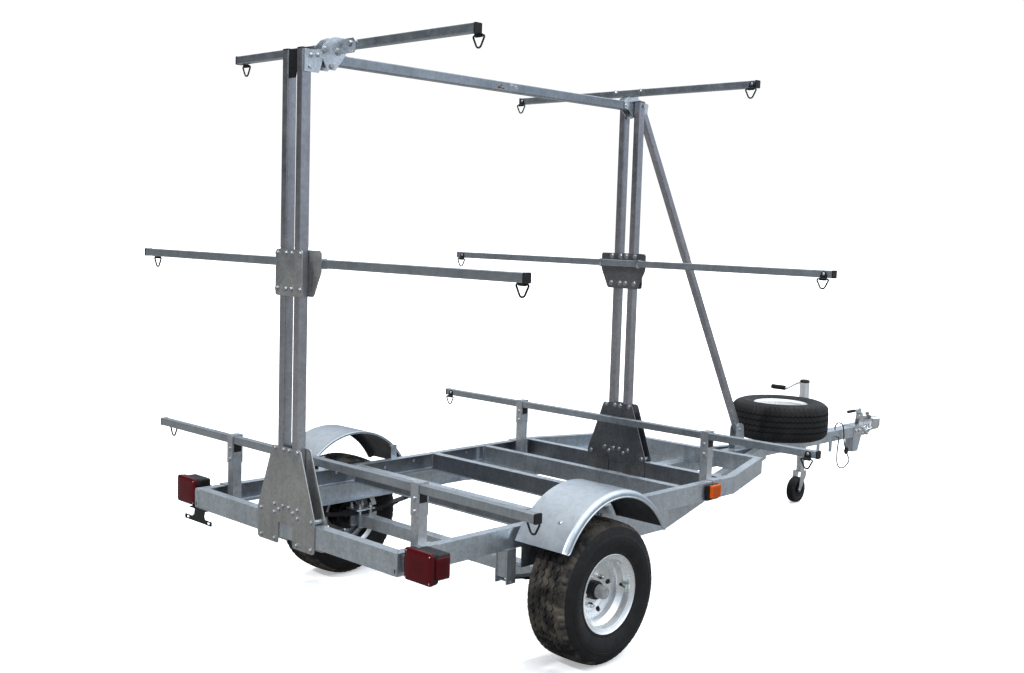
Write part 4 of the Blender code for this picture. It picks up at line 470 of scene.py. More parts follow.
def spun(bm, axis, centre, profile, steps, closed=False):
    """A profile of (radius, place along the axis) spun round the axis."""
    centre = Vector(centre)
    u, v = {"X": ("Y", "Z"), "Y": ("Z", "X"), "Z": ("X", "Y")}[axis]
    made = []
    for radius, along in profile:
        middle = centre + AXES[axis] * along
        if radius < 1e-6:
            made.append([bm.verts.new(middle)])
            continue
        made.append([bm.verts.new(middle + radius * (AXES[u] * cos(tau * i / steps)
                                                     + AXES[v] * sin(tau * i / steps)))
                     for i in range(steps)])
    pairs = list(zip(made, made[1:]))
    if closed:
        pairs.append((made[-1], made[0]))
    for ring, after in pairs:
        for i in range(steps):
            j = (i + 1) % steps
            corners = [ring[i % len(ring)], ring[j % len(ring)], after[j % len(after)], after[i % len(after)]]
            unique = list(dict.fromkeys(corners))
            if len(unique) > 2:
                bm.faces.new(unique)


def rod(bm, axis, centre, radius, low, high, steps=24, edge=0.0008):
    """A round rod along an axis, with its edges eased."""
    spun(bm, axis, centre, [(0, low), (radius - edge, low), (radius, low + edge), (radius, high - edge),
                            (radius - edge, high), (0, high)], steps)


def along_path(bm, path, radius, sides, closed=False):
    """A round wire along a path of points, of one radius or of one for each point."""
    points = [Vector(point) for point in path]
    count = len(points)
    rings = []
    up = None
    for index, point in enumerate(points):
        before = points[index - 1] if index or closed else point
        after = points[(index + 1) % count] if index < count - 1 or closed else point
        ahead = (after - before).normalized()
        if up is None:
            up = ahead.orthogonal().normalized()
        up = (up - ahead * up.dot(ahead)).normalized()
        side = ahead.cross(up)
        size = radius[index] if isinstance(radius, (list, tuple)) else radius
        rings.append([point + size * (up * cos(tau * k / sides) + side * sin(tau * k / sides))
                      for k in range(sides)])
    loft(bm, rings, loop=closed)


def hexagon(bm, axis, centre, outward, size, high, turn=0.0):
    """A hexagonal head or nut with its corners eased, standing on a face."""
    loft(bm, [[place(axis, outward * rise, *polar(radius, pi / 3 * i + turn)) + Vector(centre)
               for i in range(6)]
              for radius, rise in ((size, 0.0), (size, high * 0.78), (size * 0.88, high))])


def washer(bm, axis, centre, outward, radius, high):
    """A flat washer on a face."""
    spun(bm, axis, centre, [(0, 0), (radius, 0), (radius, outward * high * 0.7),
                            (radius * 0.94, outward * high), (0, outward * high)], 20)


def dome(bm, axis, centre, outward, radius, high):
    """The round head of a carriage bolt."""
    sunk, steps = outward * -0.0005, 5
    quarter = [(radius * cos(angle), outward * high * sin(angle))
               for angle in (pi / 2 * step / steps for step in range(steps + 1))]
    spun(bm, axis, centre, [(0.0, sunk), (radius, sunk), *quarter], 18)


def nut_and_bolt(bm, axis, centre, outward):
    """A washer, a nut and the end of the bolt standing out of it."""
    thick, high, thread = 0.0014, 0.0062, 0.006
    washer(bm, axis, centre, outward, 0.0105, thick)
    face = Vector(centre) + AXES[axis] * outward * thick
    hexagon(bm, axis, face, outward, 0.0078, high, 0.3)
    rod(bm, axis, face, 0.0038, *ends(outward, 0.005, high + thread), 12, 0.0005)


def bead(bm, start, end, radius):
    """A weld bead: a low rippled cord between two points."""
    start, end = Vector(start), Vector(end)
    length = (end - start).length
    count = max(6, int(length / 0.0022))
    path = [start.lerp(end, i / count) for i in range(count + 1)]
    sizes = [radius * (0.6 if i in (0, count) else 1.0 + 0.1 * (-1) ** i) for i in range(count + 1)]
    along_path(bm, path, sizes, sides=6)


def plate(bm, axis, outline, low, high, edge=0.0008):
    """A flat plate of any outline across an axis, with its edges eased."""
    local = bmesh.new()
    face = local.faces.new([local.verts.new(place(axis, low, a, b)) for a, b in outline])
    grown_part = bmesh.ops.extrude_face_region(local, geom=[face])["geom"]
    lifted = [item for item in grown_part if isinstance(item, bmesh.types.BMVert)]
    bmesh.ops.translate(local, vec=AXES[axis] * (high - low), verts=lifted)
    bmesh.ops.recalc_face_normals(local, faces=local.faces[:])
    if edge:
        bmesh.ops.bevel(local, geom=local.edges[:], offset=edge, segments=2, profile=0.6, affect="EDGES",
                        clamp_overlap=True)
    add_mesh(bm, local)


def add_mesh(bm, other):
    """Pour one bmesh into another."""
    spare = bpy.data.meshes.new("spare")
    other.to_mesh(spare)
    other.free()
    bm.from_mesh(spare)
    bpy.data.meshes.remove(spare)


def add_object(name, data):
    """A new object in the scene."""
    made = bpy.data.objects.new(name, data)
    bpy.context.scene.collection.objects.link(made)
    return made


def piece(name, bm, finish, replaces=(), body="chassis", angle=25, also=()):
    """Finish a mesh as a piece of the trailer that rides on a body, or on none yet."""
    bmesh.ops.translate(bm, vec=(0, -MIDDLE_Y, 0), verts=bm.verts[:])
    bmesh.ops.recalc_face_normals(bm, faces=bm.faces[:])
    data = bpy.data.meshes.new(name)
    bm.to_mesh(data)
    bm.free()
    made = add_object(name, data)
    data.shade_smooth()
    data.set_sharp_from_angle(angle=radians(angle))
    for material in (finish, *also):
        data.materials.append(bpy.data.materials[material + "_finish"])
    if body:
        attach(made, body)
    if replaces:
        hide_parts(*replaces)
    return made


def mirrored(bm):
    """A left-hand copy of a right-hand mesh."""
    made = bm.copy()
    bmesh.ops.scale(made, vec=(-1, 1, 1), verts=made.verts[:])
    bmesh.ops.reverse_faces(made, faces=made.faces[:])
    return made


def pair(name, bm, finish, node=None, also=()):
    """The left and right pieces of a right-hand mesh, in the place of a pair of nodes if one is named."""
    for hand, mesh in (("left", mirrored(bm)), ("right", bm)):
        piece(name.format(hand), mesh, finish, [node.format(hand)] if node else (), also=also)


def set_on(bm, turn, centre):
    """Turn a mesh that was made at the origin and move it to its place."""
    bmesh.ops.transform(bm, matrix=Matrix.Translation(centre) @ turn.to_4x4(), verts=bm.verts[:])


def cut(bm, cutters):
    """Cut closed meshes out of a closed mesh."""
    items = []
    for mesh in [bm] + cutters:
        bmesh.ops.recalc_face_normals(mesh, faces=mesh.faces[:])
        data = bpy.data.meshes.new("cutting")
        mesh.to_mesh(data)
        mesh.free()
        items.append(add_object("cutting", data))
    for other in items[1:]:
        step = items[0].modifiers.new("cut", "BOOLEAN")
        step.operation, step.solver, step.object = "DIFFERENCE", "EXACT", other
    bpy.context.view_layer.update()
    baked = bpy.data.meshes.new_from_object(items[0].evaluated_get(bpy.context.evaluated_depsgraph_get()))
    made = bmesh.new()
    made.from_mesh(baked)
    bpy.data.meshes.remove(baked)
    for item in items:
        data = item.data
        bpy.data.objects.remove(item)
        bpy.data.meshes.remove(data)
    return made


def head(bm, axis, centre, outward, size=0.0079):
    """A washer and a bolt's hexagonal head, no higher than the part's own head."""
    seat = 0.0011
    washer(bm, axis, centre, outward, size * 1.34, 0.0012)
    hexagon(bm, axis, Vector(centre) + AXES[axis] * outward * seat, outward, size, HEAD_HIGH - seat, 0.25)


def smooth(points, count):
    """Points spaced evenly along a smooth curve through the given points."""
    knots = [Vector(point) for point in points]
    padded = [2 * knots[0] - knots[1]] + knots + [2 * knots[-1] - knots[-2]]
    fine = []
    for before, a, b, after in zip(padded, padded[1:], padded[2:], padded[3:]):
        for step in range(16):
            t = step / 16
            fine.append(0.5 * (2 * a + (b - before) * t + (2 * before - 5 * a + 4 * b - after) * t ** 2
                               + (3 * a - before - 3 * b + after) * t ** 3))
    fine.append(knots[-1])
    travel = [0.0]
    for a, b in zip(fine, fine[1:]):
        travel.append(travel[-1] + (b - a).length)
    spaced = []
    index = 0
    for number in range(count):
        wanted = travel[-1] * number / (count - 1)
        while index < len(fine) - 2 and travel[index + 1] < wanted:
            index += 1
        share = (wanted - travel[index]) / (travel[index + 1] - travel[index])
        spaced.append(fine[index].lerp(fine[index + 1], share))
    return spaced


def dress(node, finish, edge=0.0):
    """Give a CAD node its finish, and ease its edges."""
    shown = frame["nodes"][node]
    shown.data.materials.clear()
    shown.data.materials.append(bpy.data.materials[finish + "_finish"])
    if edge:
        ease = shown.modifiers.new("eased edges", "BEVEL")
        ease.width = edge
        ease.segments = 2
        ease.limit_method = "ANGLE"
        ease.angle_limit = radians(40)
        ease.harden_normals = True
        ease.use_clamp_overlap = True


# Operators: one for each piece or group of like pieces

class TRAILER_OT_stage(bpy.types.Operator):
    """Put the camera, the floor and the lights in place"""

    bl_idname = "trailer.stage"
    bl_label = "Stage"

    def execute(self, context):
        context.scene.view_settings.view_transform = "Standard"
        self.camera(context)
        self.floor()
        self.sky(context)
        self.sun()
        return {"FINISHED"}

    def camera(self, context):
        """Stand where the photograph was taken from."""
        data = bpy.data.cameras.new("camera")
        data.sensor_width = SENSOR
        data.lens = FOCAL / PHOTO_WIDE * SENSOR
        data.clip_start, data.clip_end = 0.05, 200.0
        ahead = Vector((-sin(AZIMUTH) * cos(ELEVATION), cos(AZIMUTH) * cos(ELEVATION),
                        -sin(ELEVATION)))
        side = ahead.cross(AXES["Z"]).normalized()
        right = side * cos(ROLL) + side.cross(ahead) * sin(ROLL)
        made = add_object("camera", data)
        turned = Matrix((right, right.cross(ahead), -ahead)).transposed().to_4x4()
        made.matrix_world = Matrix.Translation(EYE) @ turned
        context.scene.camera = made

    def floor(self):
        """A pale studio floor, which looks white and throws only a little light back up."""
        data = bpy.data.meshes.new("floor")
        data.from_pydata([(x * FLOOR_REACH, y * FLOOR_REACH, FLOOR_Z)
                          for x, y in ((-1, -1), (1, -1), (1, 1), (-1, 1))], [], [(0, 1, 2, 3)])
        made = add_object("floor", data)
        pale, tree, shader = blank("pale_floor", (0.9, 0.9, 0.9), 0.9, 0.0, Specular_IOR_Level=0.0,
                                   Emission_Strength=0.35)
        seen = put(tree, "LightPath").outputs["Is Camera Ray"]
        wire(tree, shader, Base_Color=mix(tree, "MIX", seen, (0.24, 0.235, 0.225, 1), WHITE),
             Emission_Color=mix(tree, "MIX", seen, BLACK, WHITE))
        data.materials.append(pale)

    def sky(self, context):
        """A pale sky that is brighter overhead and to the front right, and plain white to the camera."""
        world = bpy.data.worlds.new("studio")
        context.scene.world = world
        world.use_nodes = True
        tree = world.node_tree
        direction = put(tree, "TexCoord").outputs["Generated"]
        height = put(tree, "SeparateXYZ", Vector=direction).outputs["Z"]
        towards = put(tree, "VectorMath", (("operation", "DOT_PRODUCT"),))
        fill(tree, towards.inputs[0], direction)
        fill(tree, towards.inputs[1], (0.8, 0.6, 0.0))
        light = tree.nodes["Background"]
        wire(tree, light, Strength=to_range(tree, towards.outputs["Value"], 0.36, 2.9, -1.0, 1.0),
             Color=ramp(tree, to_range(tree, height, 0.0, 1.0, -1.0, 1.0), (0.5, (0.13, 0.155, 0.185, 1)),
                        (1.0, (1.24, 1.28, 1.3, 1)), (0.68, (0.44, 0.49, 0.56, 1))))
        white = put(tree, "Background", Color=WHITE, Strength=1.05)
        either = put(tree, "MixShader")
        seen = put(tree, "LightPath").outputs["Is Camera Ray"]
        for index, value in enumerate((seen, light.outputs["Background"], white.outputs["Background"])):
            fill(tree, either.inputs[index], value)
        fill(tree, tree.nodes["World Output"].inputs["Surface"], either.outputs["Shader"])

    def sun(self):
        """A broad sun from the rear."""
        data = bpy.data.lights.new("sun", "SUN")
        data.energy, data.angle, data.color = SUN_POWER, SUN_WIDE, SUN_COLOUR
        add_object("sun", data).rotation_euler = SUN_FROM.to_track_quat("-Z", "Y").to_euler()


class TRAILER_OT_finishes(bpy.types.Operator):
    """Make the finishes"""

    bl_idname = "trailer.finishes"
    bl_label = "Finishes"

    def execute(self, context):
        finishes()
        return {"FINISHED"}


class TRAILER_OT_harness(bpy.types.Operator):
    """Lay the harness cord round its route, with its flat plug"""

    bl_idname = "trailer.harness"
    bl_label = "Harness cord and plug"

    def execute(self, context):
        shift = Vector((0, -MIDDLE_Y, 0))
        route = [point + shift for point in smooth(CORD_ROUTE, 40)]
        data = bpy.data.curves.new("harness_cord", "CURVE")
        data.dimensions = "3D"
        data.bevel_depth = CORD_R
        data.bevel_resolution = 4
        data.use_fill_caps = True
        line = data.splines.new("POLY")
        line.points.add(len(route) - 1)
        for point, at in zip(line.points, route):
            point.co = (*at, 1.0)
        line.use_smooth = True
        data.materials.append(bpy.data.materials["cable_sheath_finish"])
        cord = add_object("harness_cord", data)
        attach(cord, "chassis")
        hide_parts("harness_cable")
        plug = self.plug()
        return {"FINISHED"}

    def plug(self):
        """The flat connector: a body with a waist, two collars and grip ribs."""
        before, after = (Vector(CORD_ROUTE[index]) for index in PLUG_KNOTS)
        bm = bmesh.new()
        for low, high, thick, wide in ((-0.015, -0.011, 0.0052, 0.0115), (-0.0112, 0.0112, 0.0065, 0.017),
                                       (0.011, 0.015, 0.0052, 0.0135)):
            bar(bm, "Z", (-thick, thick), (-wide, wide), low, high, 0.0022)
        for step in range(5):
            at = -0.008 + 0.004 * step
            for side in BOTH:
                bar(bm, "Z", ends(side, 0.0058, 0.0067), (-0.012, 0.012), at - 0.0007, at + 0.0007,
                    0.0003, 0.0002, 2)
        hole = CORD_R + 0.0008
        for end in BOTH:
            spun(bm, "Z", ORIGIN, [(hole, end * 0.0149), (hole + 0.0016, end * 0.0149),
                                   (hole + 0.001, end * 0.019), (hole, end * 0.019)], 16, closed=True)
        turn = AXES["Z"].rotation_difference((after - before).normalized()).to_matrix()
        set_on(bm, turn, (before + after) / 2)
        return piece("harness_connector", bm, "black_plastic", ["harness_plug"])


class TRAILER_OT_bars(bpy.types.Operator):
    """Make the six load bars, with their end caps, clips and clip bolts"""

    bl_idname = "trailer.bars"
    bl_label = "Load bars"

    def execute(self, context):
        corner = context.scene.trailer_sizes.tube_corner
        caps, clips, bolts = meshes(3)
        cap = 0.005
        for name, (half, top, rear, ring_side, inset) in BARS.items():
            bm = bmesh.new()
            y, z = (rear, rear + BAR), (top - BAR, top)
            bar(bm, "X", y, z, -half + cap, half - cap, corner, 0.0003)
            piece(name + "_tube", bm, "galvanised_bar", [name])
            face = y[1] if ring_side > 0 else y[0]
            for side in BOTH:
                bar(caps, "X", y, z, *ends(side, half - cap - LAP, half), corner + LAP, 0.0012)
                self.clip(clips, bolts, side * (half - inset), face, ring_side, z[0])
        piece("bar_end_caps", caps, "black_plastic")
        piece("ring_clips", clips, "black_steel")
        piece("ring_clip_bolts", bolts, "bolt_zinc")
        return {"FINISHED"}

    def clip(self, clips, bolts, x, face, ring_side, bottom):
        """A plate with a rounded top, rolled round the ring's wire at its foot."""
        eye_y, eye_z = face + ring_side * EYE_OUT, bottom - EYE_DOWN
        bolt_z = bottom + BAR / 2
        wide, thick, foot = 0.015, 0.003, bottom + 0.006
        outline = [(x - wide, eye_z), (x + wide, eye_z), (x + wide, foot)]
        outline += [(x + 0.0125 * cos(radians(a)), bolt_z + 0.0115 * sin(radians(a)))
                    for a in range(10, 171, 20)]
        outline.append((x - wide, foot))
        plate(clips, "Y", outline, *sorted((face + ring_side * 0.0001, face + ring_side * thick)), 0.0005)
        half_eye = [(0.0036, -0.014), (0.006, -0.014), (0.0062, -0.0136)]
        spun(clips, "X", (x, eye_y, eye_z), half_eye + across(half_eye), 20, closed=True)
        dome(bolts, "Y", (x, face + ring_side * thick, bolt_z), ring_side, 0.0072, 0.0034)


class TRAILER_OT_rings(bpy.types.Operator):
    """Bend the twelve wire rings"""

    bl_idname = "trailer.rings"
    bl_label = "Lashing rings"

    def execute(self, context):
        outline = self.outline()
        for name, (half, top, rear, ring_side, inset) in BARS.items():
            face = rear + BAR if ring_side > 0 else rear
            for hand, side in SIDES:
                at = Vector((side * (half - inset), face + ring_side * EYE_OUT, top - BAR - EYE_DOWN))
                bm = bmesh.new()
                along_path(bm, [at + Vector((x, 0, z)) for x, z in outline], 0.0033, 12, closed=True)
                body = f"{name.replace('bar', 'ring')}_{hand}"
                piece(body + "_wire", bm, "black_steel", [body], body=body, angle=60)
        return {"FINISHED"}

    def outline(self):
        """A rounded triangle hanging from its straight side."""
        corners = ((0.028, 0.0, 0.005), (-0.028, 0.0, 0.005), (0.0, -0.053, 0.013))
        points = []
        for index, (x, z, radius) in enumerate(corners):
            here = Vector((x, z))
            back = (Vector(corners[index - 1][:2]) - here).normalized()
            ahead = (Vector(corners[(index + 1) % 3][:2]) - here).normalized()
            half_angle = back.angle(ahead) / 2
            centre = here + (back + ahead).normalized() * radius / sin(half_angle)
            towards = atan2(here.y - centre.y, here.x - centre.x)
            turn = pi / 2 - half_angle
            for step in range(9):
                angle = towards - turn + 2 * turn * step / 8
                points.append(polar(radius, angle, *centre))
        return points


class TRAILER_OT_masts(bpy.types.Operator):
    """Stand up the masts, the spreader between their heads and the brace"""

    bl_idname = "trailer.masts"
    bl_label = "Masts, spreader and brace"

    def execute(self, context):
        corner = context.scene.trailer_sizes.tube_corner
        caps, cap = bmesh.new(), 0.004
        for place_name, rear in MASTS:
            y = (rear, rear + MAST_DEEP)
            for hand, side in SIDES:
                x = ends(side, MAST_INNER, MAST_INNER + MAST_WIDE)
                bm = bmesh.new()
                bar(bm, "Z", x, y, FRAME_TOP + 0.0004, MAST_TOP - cap, corner, 0.0003)
                piece(f"mast_{place_name}_{hand}_tube", bm, "mast_steel", [f"mast_{place_name}_{hand}"])
                bar(caps, "Z", x, y, MAST_TOP - cap - LAP, MAST_TOP, corner + LAP, 0.001)
        piece("mast_caps", caps, "black_plastic")
        self.wedge()
        self.spreader(corner)
        self.brace(corner)
        return {"FINISHED"}

    def wedge(self):
        """A black pointed plate between the rear mast's tubes: painted shade in the gap, where the bracket
        behind the tubes lies in shade.
        """
        bm = bmesh.new()
        half, top = MAST_INNER - 0.0004, MAST_TOP - 0.003
        plate(bm, "Y", [(-half, top), (half, top), (half, top - 0.04), (0.006, top - 0.096),
                        (-half, top - 0.096)],
              REAR_MAST_Y + 0.007, REAR_MAST_Y + 0.011, 0.0006)
        # Painted shade: a black plate stands for the shaded gap between the tubes
        piece("mast_head_wedge", bm, "black_steel")

    def spreader(self, corner):
        """The tube between the heads, with a few chips in its zinc near the rear."""
        tube, cap = meshes(2)
        x, z = (-SPREADER_HALF, SPREADER_HALF), (SPREADER_TOP - 0.038, SPREADER_TOP)
        bar(tube, "Y", x, z, 0.003, 1.681, corner, 0.0003)
        bar(cap, "Y", x, z, 0.0, 0.0032, corner + LAP, 0.001)
        piece("spreader_tube", tube, "spreader_steel", ["spreader"])
        piece("spreader_cap", cap, "black_plastic")
        for name, finish, marks in (
                ("rust_chips", "rust", ((0.862, 2.105, 0.01), (0.885, 2.102, 0.007), (0.872, 2.114, 0.006))),
                ("zinc_chips", "pale_chip", ((0.93, 2.121, 0.009), (0.957, 2.118, 0.01),
                                             (0.962, 2.109, 0.005)))):
            chips = bmesh.new()
            for y, z, size in marks:
                outline = [(y + size * (1 + 0.3 * sin(3 * a + y * 90)) * cos(a),
                            z + 0.45 * size * (1 + 0.3 * cos(4 * a + z * 70)) * sin(a))
                           for a in (tau * k / 14 for k in range(14))]
                plate(chips, "X", outline, SPREADER_HALF - 0.0001, SPREADER_HALF + 0.0003, 0)
            piece(name, chips, finish)

    def brace(self, corner):
        """The sloping tube from the front head to the tongue."""
        fall = BRACE_FOOT - BRACE_TOP
        bm = bmesh.new()
        wide = (-BRACE_HALF, BRACE_HALF)
        square_tube(bm, "Z", wide, wide, -fall.length - 0.028, 0.02, 0.0025, corner)
        set_on(bm, Vector((0, 0, -1)).rotation_difference(fall).to_matrix(), BRACE_TOP)
        piece("brace_tube", bm, "mast_steel", ["brace"])


class TRAILER_OT_mast_plates(bpy.types.Operator):
    """Clamp the masts' feet and middles between their bolted plates"""

    bl_idname = "trailer.mast_plates"
    bl_label = "Mast plates"

    def execute(self, context):
        for place_name, rear in MASTS:
            faces = (rear - GAP - PLATE, rear + MAST_DEEP + GAP + PLATE)
            self.base(place_name, *faces)
            self.middle(place_name, *faces, 1 if place_name == "rear" else -1)
        return {"FINISHED"}

    def clamp(self, name, node, place_name, outlines, rear_face, front_face):
        """A plate behind the mast and one in front of it."""
        plates = bmesh.new()
        plate(plates, "Y", outlines[0], rear_face, rear_face + PLATE, 0.001)
        plate(plates, "Y", outlines[1], front_face - PLATE, front_face, 0.001)
        piece(f"{name}_{place_name}", plates, PLATE_FINISH[place_name], [f"{node}_{place_name}"], angle=20)

    def base(self, place_name, rear_face, front_face):
        """The tall plates at a mast's foot, notched over the crossmember, with their bolts and spacers."""
        corner = 0.012
        right = [(0.043, 0.481), (0.043, 0.41), (0.049, 0.404), (0.17 - corner, 0.404), (0.1665, 0.4075),
                 (0.17, 0.404 + corner), (0.17, 0.516), (0.169, 0.524), (0.0885, 0.74), (0.0845, 0.75),
                 (0.087 - corner, 0.755)]
        full = right + across(right, -1, 1)
        places = [(0.016, 0.745), (0.0665, 0.745), (0.0175, 0.543), (0.0685, 0.543), (0.042, 0.5275),
                  (0.15, 0.515), (0.0665, 0.418), (0.148, 0.418)]
        if place_name == "rear":
            places.append((0.069, 0.513))
        bolts = bmesh.new()
        for x, z in places:
            for side in BOTH:
                head(bolts, "Y", (side * x, rear_face, z), -1)
                nut_and_bolt(bolts, "Y", (side * x, front_face, z), 1)
        for x, z in ((0.1045, 0.418), (0.15, 0.515)):
            for side in BOTH:
                rod(bolts, "Y", (side * x, 0, z), 0.009, rear_face + 0.001, front_face - 0.001, 20, 0.0005)
        self.clamp("mast_foot_plates", "mast_base", place_name, (full, full), rear_face, front_face)
        piece(f"mast_foot_bolts_{place_name}", bolts, "bolt_zinc")

    def middle(self, place_name, rear_face, front_face, facing):
        """The plates that carry the middle bar, and the two straps round it."""
        low, high = 1.287, 1.448
        narrow = rounded((-0.078, 0.078), (low, high), 0.01)
        half, foot, shoulder = 0.128, 0.088, 1.375
        right = [(foot - 0.008, low), (foot, low + 0.004), (half, shoulder), (half, high - 0.008),
                 (half - 0.008, high)]
        wide = right + across(right, -1, 1)
        near = front_face + GAP if facing > 0 else rear_face - GAP
        seat, far = near - facing * 0.0013, near + facing * (BAR + GAP)
        outer, over, under, thick = far + facing * 0.003, 1.4183, 1.3877, 0.003
        strap = ((seat, over), (far, over), (far, under), (seat, under), (seat, under - thick),
                 (outer, under - thick), (outer, over + thick), (seat, over + thick))
        straps, bolts = meshes(2)
        for side in BOTH:
            x = side * 0.108
            plate(straps, "X", strap, x - 0.006, x + 0.006, 0.0006)
        for x, z in ((0.0665, 1.4345), (0.0165, 1.4345), (0.0665, 1.3105), (0.0165, 1.3105)):
            for side in BOTH:
                rear_at, front_at = (side * x, rear_face, z), (side * x, front_face, z)
                if facing < 0:
                    nut_and_bolt(bolts, "Y", front_at, 1)
                    head(bolts, "Y", rear_at, -1, 0.0088)
                    continue
                head(bolts, "Y", rear_at, -1)
                if z < shoulder:
                    nut_and_bolt(bolts, "Y", front_at, 1)
        self.clamp("mast_middle_plates", "mid_bracket", place_name,
                   (narrow, wide) if facing > 0 else (wide, narrow), rear_face, front_face)
        piece(f"mast_middle_straps_{place_name}", straps, "bright_zinc", angle=20)
        piece(f"mast_middle_bolts_{place_name}", bolts, "bolt_zinc")


class TRAILER_OT_tyres(bpy.types.Operator):
    """Mould the two road tyres and the spare"""

    bl_idname = "trailer.tyres"
    bl_label = "Tyres"

    def execute(self, context):
        for name, _, body, tread, centre, turn in WHEELS:
            bm = self.carcass(context.scene.trailer_sizes)
            set_on(bm, turn, centre)
            piece(name + "_rubber", bm, "tyre", [name], body=body, angle=40, also=[tread])
        return {"FINISHED"}

    def carcass(self, sizes):
        """A tyre lying flat: moulded sidewalls, and a tread with zigzag grooves and notched shoulders."""
        wall = [(0.1273, 0.076), (0.136, 0.083), (0.144, 0.0862), (0.1465, 0.0868), (0.149, 0.0885),
                (0.152, 0.0888), (0.1532, 0.088), (0.16, 0.0915), (0.175, 0.0975), (0.185, 0.1005),
                (0.193, 0.1022), (0.201, 0.1025), (0.2056, 0.1014), (0.2068, 0.1024), (0.211, 0.1018),
                (0.2122, 0.1006), (0.218, 0.099), (0.228, 0.0955), (0.237, 0.091), (0.241, 0.0875)]
        lug = [(0.2425, 0.0872), (0.25, 0.08), (0.2545, 0.0745), (0.2568, 0.07)]
        inner = [(0.2455, 0.058), (0.205, 0.088), (0.1273, 0.064)]
        steps, half, notch = sizes.tread_pitches * 4, sizes.groove_width / 2, 0.0034
        crown, crown_half = 0.0034, 0.074
        bm = bmesh.new()
        rows = []
        for step in range(steps):
            swing = sizes.zigzag * (0, 1, 0, -1)[step % 4]
            sink = notch if step % 4 == 0 else 0.0
            outer_lug = [(r - sink * (0.3 if index in (0, 3) else 1.0), s - sink * 0.7)
                         for index, (r, s) in enumerate(lug)]
            tread = []
            for groove in (0.045, 0.015, -0.015, -0.045):
                at = groove + swing
                for s, deep in ((at + half, 0), (at + half * 0.55, 1), (at - half * 0.55, 1), (at - half, 0)):
                    tread.append((TYRE_R - crown * (s / crown_half) ** 2 - deep * sizes.groove_depth, s))
            section = wall + outer_lug + tread + across(outer_lug) + across(wall) + across(inner) + inner
            angle = tau * step / steps
            rows.append([bm.verts.new((*polar(r, angle), s)) for r, s in section])
        treads = range(len(wall), len(wall) + 2 * len(lug) + len(tread) - 1)
        for row, after in zip(rows, rows[1:] + rows[:1]):
            for index in range(len(row)):
                other = (index + 1) % len(row)
                face = bm.faces.new((row[index], row[other], after[other], after[index]))
                face.material_index = 1 if index in treads else 0
        return bm


